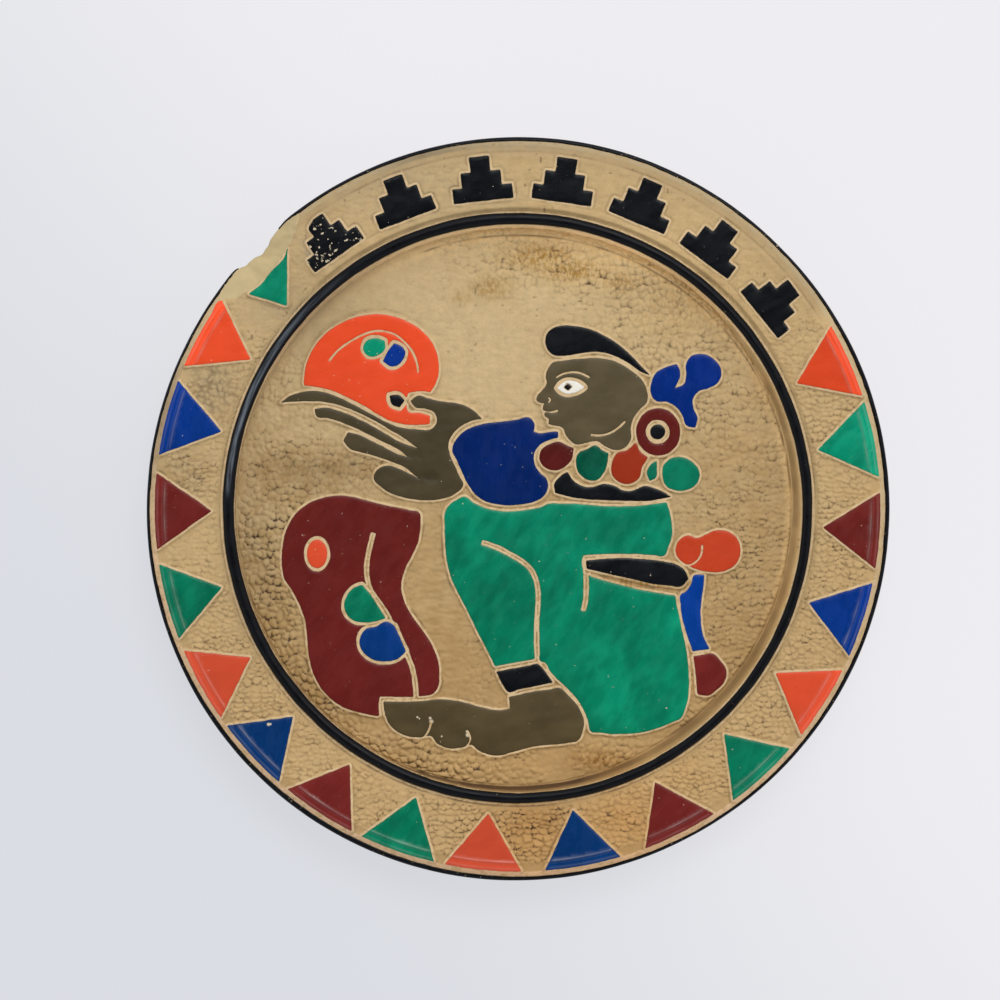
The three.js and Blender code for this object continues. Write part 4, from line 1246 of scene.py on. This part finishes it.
class Nodes:
    """A node tree, with short ways to add what the finishes and the light need."""

    def __init__(self, tree):
        self.tree = tree

    def add(self, kind, inputs=None, **settings):
        """A new node with these values or links on its inputs."""
        node = self.tree.nodes.new(kind)
        for key, value in settings.items():
            setattr(node, key, value)
        for key, value in (inputs or {}).items():
            self.put(node.inputs[key], value)
        return node

    def put(self, socket, value):
        """Links an output to an input, or writes a value on it."""
        if isinstance(value, bpy.types.NodeSocket):
            self.tree.links.new(value, socket)
        else:
            socket.default_value = value

    def math(self, operation, first, second=0.0, third=0.0):
        return self.add("ShaderNodeMath", {0: first, 1: second, 2: third}, operation=operation).outputs[0]

    def plus(self, first, second):
        return self.math("ADD", first, second)

    def times(self, first, second):
        return self.math("MULTIPLY", first, second)

    def band(self, value, low, high, low_result=0.0, high_result=1.0):
        """A value brought smoothly from one range to another."""
        return self.add(
            "ShaderNodeMapRange",
            {"Value": value, "From Min": low, "From Max": high, "To Min": low_result, "To Max": high_result},
            interpolation_type="SMOOTHSTEP",
        ).outputs[0]


class Finish(Nodes):
    """A material whose patterns are measured in millimetres."""

    def __init__(self, name):
        self.material = bpy.data.materials.new(name)
        self.material.use_nodes = True
        super().__init__(self.material.node_tree)
        self.shader = self.tree.nodes["Principled BSDF"]
        spot = self.add("ShaderNodeTexCoord").outputs["Object"]
        self.spot = self.add("ShaderNodeVectorMath", {0: spot, 3: MM}, operation="SCALE").outputs[0]

    def place(self):
        """How far a point lies to the right, up the picture, and out from the plate's axis."""
        apart = self.add("ShaderNodeSeparateXYZ", {0: self.spot})
        flat = self.add("ShaderNodeCombineXYZ", {0: apart.outputs["X"], 1: apart.outputs["Y"]})
        radius = self.add("ShaderNodeVectorMath", {0: flat.outputs[0]}, operation="LENGTH").outputs["Value"]
        return apart.outputs["X"], apart.outputs["Y"], radius

    def noise(self, size, detail, stretch=(1, 1, 1), turn=0.0, shift=0.0):
        """Noise with bumps of about this many millimetres, from 0 to 1."""
        place = self.add(
            "ShaderNodeMapping",
            {"Vector": self.spot, "Rotation": (0, 0, turn), "Scale": stretch, "Location": (shift, 0, 0)},
            vector_type="TEXTURE",
        )
        return self.add(
            "ShaderNodeTexNoise",
            {"Vector": place.outputs[0], "Scale": 1 / size, "Detail": detail, "Roughness": 0.55},
        ).outputs["Fac"]

    def mix(self, share, first, second, blend="MIX"):
        """Two colours blended by a share."""
        mixer = self.add("ShaderNodeMix", data_type="RGBA", blend_type=blend)
        self.put(mixer.inputs["Factor"], share)
        for key, colour in (("A", first), ("B", second)):
            socket = [s for s in mixer.inputs if s.name == key and s.type == "RGBA"][0]
            self.put(socket, colour if isinstance(colour, bpy.types.NodeSocket) else (*colour, 1.0))
        return [s for s in mixer.outputs if s.type == "RGBA"][0]

    def shaded(self, colour, factor):
        """A colour made lighter or darker by a factor."""
        grey = self.add("ShaderNodeCombineColor", {0: factor, 1: factor, 2: factor}).outputs[0]
        return self.mix(1.0, colour, grey, "MULTIPLY")

    def mottled(self, colour, pattern, darkest, lightest):
        """A colour made darker and lighter by a pattern of noise."""
        return self.shaded(colour, self.band(pattern, 0.3, 0.7, darkest, lightest))

    def attribute(self, name):
        """A value that the piece's mesh holds at each point."""
        return self.add("ShaderNodeAttribute", attribute_name=name).outputs["Fac"]

    def slope_share(self):
        """0 at the bottom of the picture and 1 at its top and right: the share by which painted light and
        shade change across the plate.
        """
        x, y, _ = self.place()
        return self.band(self.math("MULTIPLY_ADD", x, 0.3, y), -140, 100)

    def finish(self, colour, roughness, height, depth):
        """The material, with fine relief of this depth in millimetres."""
        bump = self.add("ShaderNodeBump", {"Height": height, "Distance": depth / MM, "Strength": 1.0})
        self.put(self.shader.inputs["Base Color"], colour)
        self.put(self.shader.inputs["Roughness"], roughness)
        self.put(self.shader.inputs["Normal"], bump.outputs[0])
        return self.material


def carved_clay(colours):
    """Tooled clay: paler to the upper left, dirt and painted shade in its hollows, painted light and shade on
    the lip and the wall, a cream line round the paint.
    """
    made = Finish("Carved clay")
    broad = made.noise(38, 2)
    medium = made.noise(4.5, 3)
    grain = made.noise(0.55, 2)
    x, y, radius = made.place()
    lean = made.math("SUBTRACT", y, made.times(x, 0.35))
    share = made.band(made.plus(lean, made.band(broad, 0, 1, -60, 60)), -110, 90)
    even = made.band(radius, WALL_TOP, SPLIT_RADIUS, 0.0, 0.65)
    share = made.plus(share, made.times(even, made.math("SUBTRACT", 0.42, share)))
    ground = made.mix(share, colours.clay_dark, colours.clay_pale)
    ground = made.shaded(ground, made.band(medium, 0.25, 0.75, 0.93, 1.06))
    ground = made.mottled(ground, grain, 0.93, 1.05)
    cloud = made.band(made.noise(7, 4, shift=40), 0.35, 0.7, 0.35, 1.0)
    ground = made.mix(made.times(cloud, made.times(made.attribute("dirt"), 0.7)), ground, colours.dirt)
    smoke = made.times(made.attribute("grey"), made.band(made.noise(4, 3, shift=15), 0.3, 0.6, 0.3, 1.0))
    ground = made.mix(smoke, ground, colours.grey)
    # Dirt and painted shade: the clay is darkened in its crevices, at the foot of each slope, in the cut
    # lines and pits, and on the wall.
    ground = made.mix(made.times(made.attribute("dark"), 0.86), ground, colours.crevice)

    ragged = made.band(made.noise(1.3, 2, shift=9), 0.3, 0.7, -0.16, 0.16)
    line = made.band(made.plus(made.attribute("gap"), ragged), 0.78, 1.02, 1.0, 0.0)
    worn = made.band(made.noise(3.2, 2, shift=77), 0.34, 0.5, 0.35, 1.0)
    cream = made.mottled(colours.cream, medium, 0.95, 1.04)
    # The lip's bare ring is painted lighter towards the bottom of the picture and darker at the top: painted
    # light and shade on its slope.
    on_lip = made.band(radius, 149.6, 151.2)
    cream = made.mix(on_lip, cream, made.mix(made.slope_share(), colours.lip, colours.lip_top))
    lift = made.times(on_lip, made.band(made.slope_share(), 0, 1, 0.14, -0.08))
    cream = made.shaded(cream, made.plus(lift, 1.0))
    grime = made.band(made.noise(2.6, 3, shift=33), 0.56, 0.7, 0.0, 0.55)
    cream = made.mix(grime, cream, colours.dirt)

    surface = made.mix(made.times(line, worn), ground, cream)
    flecks = made.band(made.noise(1.3, 3, stretch=(1, 2, 1), shift=60), 0.42, 0.6, 0.4, 1.0)
    surface = made.mix(made.times(made.attribute("stain"), flecks), surface, colours.stain, "MULTIPLY")
    surface = made.mix(made.attribute("ochre"), surface, colours.ochre, "MULTIPLY")
    # Painted light and shade, with paler and darker places, from the paler attribute.
    surface = made.shaded(surface, made.plus(made.attribute("paler"), 1.0))
    fresh = made.band(made.attribute("fresh"), -0.02, 0.08)
    surface = made.mix(fresh, surface, made.mottled(colours.fracture, made.noise(6, 4, shift=13), 0.94, 1.03))
    height = made.plus(made.times(grain, 0.5), made.times(made.noise(1.6, 2), 0.5))
    return made.finish(surface, made.band(grain, 0.3, 0.7, 0.62, 0.8), height, 0.09)


def turned_clay(colours):
    """Bare clay as it left the wheel, with fine rings and dusty wear."""
    made = Finish("Turned clay")
    radius = made.place()[2]
    along = {"W": made.times(radius, 0.8), "Scale": 1.0}
    rings = made.add("ShaderNodeTexNoise", along, noise_dimensions="1D").outputs[0]
    grain = made.noise(0.7, 2)
    colour = made.mix(made.band(made.noise(24, 4), 0.35, 0.65), colours.clay_dark, colours.clay_pale)
    colour = made.mottled(colour, rings, 0.94, 1.04)
    colour = made.mottled(colour, grain, 0.94, 1.04)
    spots = made.band(made.noise(5, 5, shift=31), 0.64, 0.76, 0.0, 0.45)
    colour = made.mix(spots, colour, colours.dirt)
    height = made.plus(made.times(rings, 0.6), made.times(grain, 0.4))
    return made.finish(colour, made.band(grain, 0.3, 0.7, 0.66, 0.84), height, 0.12)


def enamel(name, deep, bright, turn, cloudy, speckle, gloss):
    """A brushed coat of enamel: painted light from the lower left to the upper right, streaks, slow clouds,
    small pale specks, a pale line on the lip's ridges that is wear and painted highlight, and painted shade
    along its border.
    """
    made = Finish(name)
    made.shader.inputs["Specular IOR Level"].default_value = 0.2
    clouds = made.noise(10, 3, stretch=(1.6, 1, 1), turn=turn, shift=cloud_shift(name))
    strokes = made.noise(4.2, 4, stretch=(2.2, 1, 1), turn=turn)
    # Painted light: each paint is mixed from its deep colour at the lower left to its bright colour at the
    # upper right.
    colour = made.mix(made.slope_share(), deep, bright)
    colour = made.shaded(colour, made.plus(made.attribute("tone"), 1.0))
    colour = made.mottled(colour, clouds, 1 - cloudy, 1 + cloudy)
    specks = made.band(made.noise(0.8, 1, shift=5), 0.79 - 0.02 * speckle, 0.84)
    colour = made.mix(made.times(specks, 0.55 * speckle), colour, PALE_SPECK)
    colour = made.mottled(colour, strokes, 1 - 0.4 * cloudy, 1 + 0.4 * cloudy)
    # The lip's ridges are painted paler: worn paint, and a painted highlight.
    colour = made.mix(made.times(made.attribute("crest_wear_and_highlight"), 0.17), colour, CREST_WEAR_AND_HIGHLIGHT)
    wear = made.math("MULTIPLY_ADD", made.attribute("worn"), 0.105, made.noise(1.5, 3, shift=52))
    lost = made.math("MAXIMUM", made.band(wear, 0.73, 0.77), made.attribute("fleck"))
    colour = made.mix(lost, colour, PALE_SPECK)
    # Painted shade: each coat is made darker along its border.
    ragged = made.band(made.noise(1.5, 2), 0.3, 0.7, -0.1, 0.1)
    colour = made.shaded(colour, made.band(made.plus(made.attribute("inset"), ragged), 0.0, 0.3, 0.86, 1.0))
    return made.finish(colour, made.band(strokes, 0.3, 0.7, gloss - 0.04, gloss + 0.06), strokes, 0.06)


def cloud_shift(name):
    """A settled distance that keeps one finish's clouds from lying over another's."""
    return float(sum(ord(letter) for letter in name) % 97)


def worn_black(name, chip_level):
    """Black enamel that has been knocked and scuffed down to the clay in places, with a painted grey sheen
    along part of the bead's crown.
    """
    made = Finish(name)
    made.shader.inputs["Specular IOR Level"].default_value = 0.1
    clouds = made.noise(8, 3)
    colour = made.mottled(ROUND_BLACK, clouds, 0.8, 1.2)
    x, y, radius = made.place()
    # Painted sheen: a grey stripe along part of the bead's crown stands for a reflection, with streaks of
    # rubbed wear in it.
    side = made.math("ARCTAN2", y, x)
    off_crown = made.math("ABSOLUTE", made.math("SUBTRACT", radius, BEAD_MIDDLE + 0.1))
    rubbed_sheen = made.times(made.band(off_crown, 0.3, 1.4, 1.0, 0.0), made.band(side, *RUBBED_SHEEN_FROM))
    rubbed_sheen = made.times(rubbed_sheen, made.band(side, *RUBBED_SHEEN_TO, 1.0, 0.0))
    along = made.add("ShaderNodeCombineXYZ", {0: made.times(side, 9.0), 1: made.times(radius, 0.9)})
    streaks = made.add("ShaderNodeTexNoise", {"Vector": along.outputs[0], "Scale": 1.0, "Detail": 3.0})
    rubbed_sheen = made.times(rubbed_sheen, made.band(streaks.outputs["Fac"], 0.3, 0.66, 0.15, 1.0))
    colour = made.mix(rubbed_sheen, colour, RUBBED_SHEEN_GREY)
    chips = made.band(made.noise(1.1, 3, shift=3), chip_level, chip_level + 0.05)
    zone = made.band(made.noise(14, 2, shift=21), 0.45, 0.62)
    colour = made.mix(made.times(chips, zone), colour, CHIPPED_BLACK)
    height = made.plus(made.times(clouds, 0.6), made.times(made.noise(1.6, 3), 0.4))
    return made.finish(colour, made.band(clouds, 0.3, 0.7, 0.26, 0.4), height, 0.12)


# Sizes and colours that a user would change


def length(name, description, value):
    """A property that holds a length, given in millimetres."""
    return bpy.props.FloatProperty(
        name=name,
        description=description,
        default=value / MM,
        min=0.0,
        precision=5,
        unit="LENGTH",
        subtype="DISTANCE",
    )


def tint(name, description, value):
    """A property that holds a colour."""
    return bpy.props.FloatVectorProperty(
        name=name,
        description=description,
        default=value,
        size=3,
        min=0.0,
        max=1.0,
        subtype="COLOR",
    )


def amount(name, description, value):
    """A property that holds a share or a brightness."""
    return bpy.props.FloatProperty(name=name, description=description, default=value, min=0.0)


def direction(name, description, degrees):
    """A property that holds an angle."""
    value = math.radians(degrees)
    return bpy.props.FloatProperty(name=name, description=description, default=value, subtype="ANGLE")


class PlateSizes(bpy.types.PropertyGroup):
    """Lengths of the carving, the paint and the meshes"""

    cream_line: length("Cream line", "Bare clay left round each painted field", 0.78)
    slope_run: length("Slope", "Width of the slope from the painted surface down to the ground", 0.6)
    relief_depth: length("Relief", "How far the ground is carved below the painted surface", 1.2)
    ground_rise: length("Ground", "How high the worked ground stands over the deepest cuts", 0.1)
    coat_thickness: length("Coat", "Thickness of a painted coat", 0.32)
    pebble_size: length("Pebbles", "Distance between the tool's marks on the ground", 2.9)
    pebble_height: length("Pebble height", "Height of the ground's pebbles over their crevices", 1.6)
    well_step: length("Well mesh", "Distance between the points of the well's mesh", 0.64)
    rim_step: length("Rim mesh", "Distance between the points of the rim's mesh", 0.58)
    coat_step: length("Coat mesh", "Distance between the points of a coat's mesh", 1.3)


class PlateColours(bpy.types.PropertyGroup):
    """Colours of the clay and the paint"""

    clay_pale: tint("Pale clay", "Clay at the upper left", srgb(200, 174, 128))
    clay_dark: tint("Dark clay", "Clay at the lower right", srgb(188, 153, 100))
    cream: tint("Cream line", "The bare line round the paint", srgb(208, 180, 138))
    # The lip's two colours are painted light and shade: lighter at the bottom of the picture, darker at the
    # top.
    lip: tint("Lip", "The bare ring inside the black edge, at the bottom", srgb(205, 171, 134))
    lip_top: tint("Upper lip", "The bare ring inside the black edge, at the top", srgb(197, 173, 131))
    # The colour of the clay's darkest places: dirt, and painted shade in the crevices, at the foot of the
    # slopes and on the wall.
    crevice: tint("Crevices", "Dirt in the cuts and between the pebbles", srgb(74, 50, 22))
    dirt: tint("Dirt", "Brown dirt on the ground", srgb(162, 127, 70))
    grey: tint("Grey places", "Clay that smoke or handling has greyed", srgb(158, 146, 118))
    stain: tint("Stains", "What a brown stain leaves of the clay's own colour", srgb(196, 170, 92))
    ochre: tint("Ochre", "What the orange tinge leaves of the clay's own colour", srgb(253, 233, 205))
    fracture: tint("Broken face", "Clay inside the chip", srgb(189, 169, 125))
    # Each paint's deep and bright colours are painted light, changing from the lower left to the upper right
    # of the plate.
    orange_deep: tint("Deep orange", "Orange at the lower left", srgb(194, 73, 46))
    orange_bright: tint("Bright orange", "Orange at the upper right", srgb(234, 77, 38))
    green_deep: tint("Deep green", "Green at the lower left", srgb(3, 112, 82))
    green_bright: tint("Bright green", "Green at the upper right", srgb(5, 134, 102))
    blue_deep: tint("Deep blue", "Blue at the lower left", srgb(3, 49, 102))
    blue_bright: tint("Bright blue", "Blue at the upper right", srgb(0, 48, 140))
    maroon_deep: tint("Deep maroon", "Maroon at the lower left", srgb(106, 33, 30))
    maroon_bright: tint("Bright maroon", "Maroon at the upper right", srgb(101, 31, 27))
    olive_deep: tint("Deep olive", "Olive at the lower left", srgb(76, 64, 40))
    olive_bright: tint("Bright olive", "Olive at the upper right", srgb(87, 77, 55))
    black: tint("Black", "Black enamel", srgb(13, 15, 19))
    white: tint("White", "White enamel", srgb(232, 228, 218))


class PlateStage(bpy.types.PropertyGroup):
    """The camera, the room's light and the floor"""

    camera_height: length("Camera height", "Height of the camera over the floor", 2500)
    view_width: length("View width", "Width of the picture at the plate's rim", 415.3)
    overhead_light: amount("Overhead light", "Brightness of the room straight overhead", 0.04)
    side_light: amount("Side light", "Brightness of the room all round", 0.94)
    window_share: amount("Window side", "How much brighter the room is beyond the top of the picture", 0.14)
    key: amount("Key light", "Light from beyond the top of the picture, as a share", 0.38)
    key_elevation: direction("Key elevation", "Height of the key light over the horizon", 57)
    key_azimuth: direction("Key direction", "Where the key light stands, counted from the right", 72)
    floor: tint("Floor", "Colour of the floor", srgb(238, 237, 241))
    # The lower floor's colour is painted shade.
    floor_low: tint("Lower floor", "Colour of the floor at the lower left", srgb(218, 221, 227))
    floor_lift: amount("Floor lift", "How far the floor's shadows are softened", 0.85)
    floor_bounce: amount("Floor bounce", "How much light the floor gives to the plate's underside", 0.3)


# Operators


def coat_material(slot, colours):
    """The finish of a painted coat, made once."""
    name = f"Enamel {slot}"
    if name in bpy.data.materials:
        return bpy.data.materials[name]
    if slot in ("black", "white"):
        deep = bright = getattr(colours, slot)
    else:
        deep = getattr(colours, f"{slot}_deep")
        bright = getattr(colours, f"{slot}_bright")
    return enamel(name, deep, bright, *BRUSHED[slot])


def build_coats(nodes):
    """Builds a coat for each of these nodes, each of a slightly different tone."""
    scene = bpy.context.scene
    for node in nodes:
        chance = float(hashed(np.int64(COAT_NODES.index(node)), np.int64(3), 7))
        tone = TONES.get(node, 0.06 * chance - 0.03)
        build_coat(node, coat_material(SLOTS[node], scene.plate_colours), scene.plate_sizes, tone)


class PLATE_OT_clay(bpy.types.Operator):
    """Builds the carved clay of the well and the rim, and the turned underside"""

    bl_idname = "plate.clay"
    bl_label = "Clay"

    def execute(self, context):
        material = carved_clay(context.scene.plate_colours)
        clay_well(context.scene.plate_sizes, material)
        clay_rim(context.scene.plate_sizes, material)
        clay_base(turned_clay(context.scene.plate_colours))
        return {"FINISHED"}


class PLATE_OT_foot(bpy.types.Operator):
    """Finishes the foot ring"""

    bl_idname = "plate.foot"
    bl_label = "Foot ring"

    def execute(self, context):
        foot = frame["nodes"]["foot_ring"]
        foot.data.materials.clear()
        foot.data.materials.append(bpy.data.materials["Turned clay"])
        return {"FINISHED"}


class PLATE_OT_bead(bpy.types.Operator):
    """Builds the raised black bead round the well"""

    bl_idname = "plate.bead"
    bl_label = "Bead"

    def execute(self, context):
        low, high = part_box("well_bead")
        rise = (high.z - low.z) * MM
        turned = np.linspace(0, math.pi, 17)
        crown = [BEAD_MIDDLE + BEAD_HALF * np.cos(turned), RIM_LEVEL + rise * np.sin(turned) ** 0.9]
        feet = [[BEAD_MIDDLE - BEAD_HALF, BEAD_FEET], [BEAD_MIDDLE + BEAD_HALF, BEAD_FEET]]
        points, triangles = turned_mesh(np.vstack([feet, np.column_stack(crown)]), BEAD_POINTS, wavered)
        make_piece("well_bead_ring", points, triangles, worn_black("Bead black", 0.72), ["well_bead"])
        return {"FINISHED"}


class PLATE_OT_edge(bpy.types.Operator):
    """Builds the black enamel band round the outer edge"""

    bl_idname = "plate.edge"
    bl_label = "Edge band"

    def execute(self, context):
        points, triangles = edge_band()
        make_piece("edge_band_coat", points, triangles, worn_black("Edge black", 0.66), ["edge_band"])
        return {"FINISHED"}


class PLATE_OT_triangles(bpy.types.Operator):
    """Builds the painted triangles of the rim"""

    bl_idname = "plate.triangles"
    bl_label = "Rim triangles"

    def execute(self, context):
        build_coats([node for node in COAT_NODES if node.startswith("rim_triangle")])
        return {"FINISHED"}


class PLATE_OT_blocks(bpy.types.Operator):
    """Builds the black stepped blocks of the rim"""

    bl_idname = "plate.blocks"
    bl_label = "Rim blocks"

    def execute(self, context):
        build_coats([node for node in COAT_NODES if node.startswith("rim_block")])
        return {"FINISHED"}


class PLATE_OT_figure(bpy.types.Operator):
    """Builds the painted fields of the figure in the well"""

    bl_idname = "plate.figure"
    bl_label = "Figure"

    def execute(self, context):
        build_coats([node for node in COAT_NODES if not node.startswith("rim_")])
        return {"FINISHED"}


def light_room(tree, stage):
    """A pale room that is brighter all round than overhead, and plain where the camera sees it."""
    room = Nodes(tree)
    spot = room.add("ShaderNodeTexCoord").outputs["Generated"]
    apart = room.add("ShaderNodeSeparateXYZ", {0: spot})
    low, high = (math.cos(math.radians(degrees)) for degrees in OVERHEAD_FADE)
    level = room.band(apart.outputs["Z"], low, high, stage.side_light, stage.overhead_light)
    side = room.math("MULTIPLY_ADD", apart.outputs["Y"], stage.window_share, 1.0)
    seen = room.add("ShaderNodeLightPath").outputs["Is Camera Ray"]
    strength = room.add("ShaderNodeMix", {"Factor": seen, "A": room.times(level, side), "B": BACKDROP_LEVEL})
    sky = tree.nodes["Background"]
    room.put(sky.inputs["Color"], (1.0, 1.0, 1.0, 1.0))
    room.put(sky.inputs["Strength"], strength.outputs[0])


def pale_floor(stage):
    """A pale sheet, clear from below and painted darker towards the lower left as painted shade, whose
    shadows are softened as bounced light in a bright room does.
    """
    made = Finish("Floor")
    x, y, _ = made.place()
    # Painted shade: the floor's colour darkens towards the lower left.
    diagonal = made.math("MULTIPLY_ADD", x, 1.2, y)
    colour = made.mix(made.band(diagonal, -320, 160), stage.floor_low, stage.floor)
    made.put(made.shader.inputs["Base Color"], colour)
    made.put(made.shader.inputs["Roughness"], 0.9)
    made.put(made.shader.inputs["Specular IOR Level"], 0.0)
    matt = made.shader.outputs[0]
    glow = made.add("ShaderNodeEmission", {"Color": colour}).outputs[0]
    clear = made.add("ShaderNodeBsdfTransparent").outputs[0]
    behind = made.add("ShaderNodeNewGeometry").outputs["Backfacing"]
    seen = made.add("ShaderNodeLightPath").outputs["Is Camera Ray"]
    share = made.math("MAXIMUM", made.times(seen, stage.floor_lift), stage.floor_bounce)
    lifted = made.add("ShaderNodeMixShader", {0: share, 1: matt, 2: glow}).outputs[0]
    sheet = made.add("ShaderNodeMixShader", {0: behind, 1: lifted, 2: clear}).outputs[0]
    made.put(made.tree.nodes["Material Output"].inputs["Surface"], sheet)
    return made.material


def lay_floor(stage):
    """A flat square sheet under the plate."""
    corners = [(-FLOOR_HALF, -FLOOR_HALF, 0), (FLOOR_HALF, -FLOOR_HALF, 0)]
    corners += [(FLOOR_HALF, FLOOR_HALF, 0), (-FLOOR_HALF, FLOOR_HALF, 0)]
    mesh = bpy.data.meshes.new("floor")
    mesh.from_pydata(corners, [], [(0, 1, 2, 3)])
    mesh.materials.append(pale_floor(stage))
    floor = bpy.data.objects.new("floor", mesh)
    bpy.context.scene.collection.objects.link(floor)


def light_key(stage):
    """A soft lamp, as bright on the floor at any elevation."""
    key = bpy.data.lights.new("key", "SUN")
    key.energy = stage.key * math.pi / math.sin(stage.key_elevation)
    key.angle = math.radians(KEY_SPREAD)
    lamp = bpy.data.objects.new("key", key)
    level = math.cos(stage.key_elevation)
    towards = Vector((
        level * math.cos(stage.key_azimuth),
        level * math.sin(stage.key_azimuth),
        math.sin(stage.key_elevation),
    ))
    lamp.rotation_euler = towards.to_track_quat("Z", "Y").to_euler()
    bpy.context.scene.collection.objects.link(lamp)


def place_camera(stage):
    """A camera straight above, whose lens takes in the given width at the rim's level."""
    camera = bpy.data.cameras.new("camera")
    camera.sensor_width = 36
    camera.lens = camera.sensor_width * (stage.camera_height - RIM_LEVEL / MM) / stage.view_width
    camera.clip_start = 0.05
    camera.clip_end = 20
    eye = bpy.data.objects.new("camera", camera)
    eye.location = (*EYE, stage.camera_height)
    bpy.context.scene.collection.objects.link(eye)
    bpy.context.scene.camera = eye


class PLATE_OT_stage(bpy.types.Operator):
    """Sets up the floor, the soft light and the camera"""

    bl_idname = "plate.stage"
    bl_label = "Stage"

    def execute(self, context):
        stage = context.scene.plate_stage
        lay_floor(stage)
        world = bpy.data.worlds.new("Studio")
        context.scene.world = world
        world.use_nodes = True
        light_room(world.node_tree, stage)
        light_key(stage)
        place_camera(stage)
        context.scene.view_settings.view_transform = "Standard"
        return {"FINISHED"}


class PLATE_PT_panel(bpy.types.Panel):
    """Lists what the plate is made of"""

    bl_idname = "PLATE_PT_panel"
    bl_label = "Painted plate"
    bl_space_type = "VIEW_3D"
    bl_region_type = "UI"
    bl_category = "Plate"

    def draw(self, context):
        for operator in OPERATORS:
            self.layout.operator(operator.bl_idname)
        for group in (context.scene.plate_sizes, context.scene.plate_colours, context.scene.plate_stage):
            for name in group.__annotations__:
                self.layout.prop(group, name)


OPERATORS = (
    PLATE_OT_clay,
    PLATE_OT_foot,
    PLATE_OT_bead,
    PLATE_OT_edge,
    PLATE_OT_triangles,
    PLATE_OT_blocks,
    PLATE_OT_figure,
    PLATE_OT_stage,
)
CLASSES = (PlateSizes, PlateColours, PlateStage, *OPERATORS, PLATE_PT_panel)


def register():
    for cls in CLASSES:
        bpy.utils.register_class(cls)
    bpy.types.Scene.plate_sizes = bpy.props.PointerProperty(type=PlateSizes)
    bpy.types.Scene.plate_colours = bpy.props.PointerProperty(type=PlateColours)
    bpy.types.Scene.plate_stage = bpy.props.PointerProperty(type=PlateStage)


def unregister():
    del bpy.types.Scene.plate_stage
    del bpy.types.Scene.plate_colours
    del bpy.types.Scene.plate_sizes
    for cls in reversed(CLASSES):
        bpy.utils.unregister_class(cls)


def main():
    register()
    bpy.ops.plate.stage()
    bpy.ops.plate.clay()
    bpy.ops.plate.foot()
    bpy.ops.plate.bead()
    bpy.ops.plate.edge()
    bpy.ops.plate.triangles()
    bpy.ops.plate.blocks()
    bpy.ops.plate.figure()


if __name__ == "__main__":
    main()
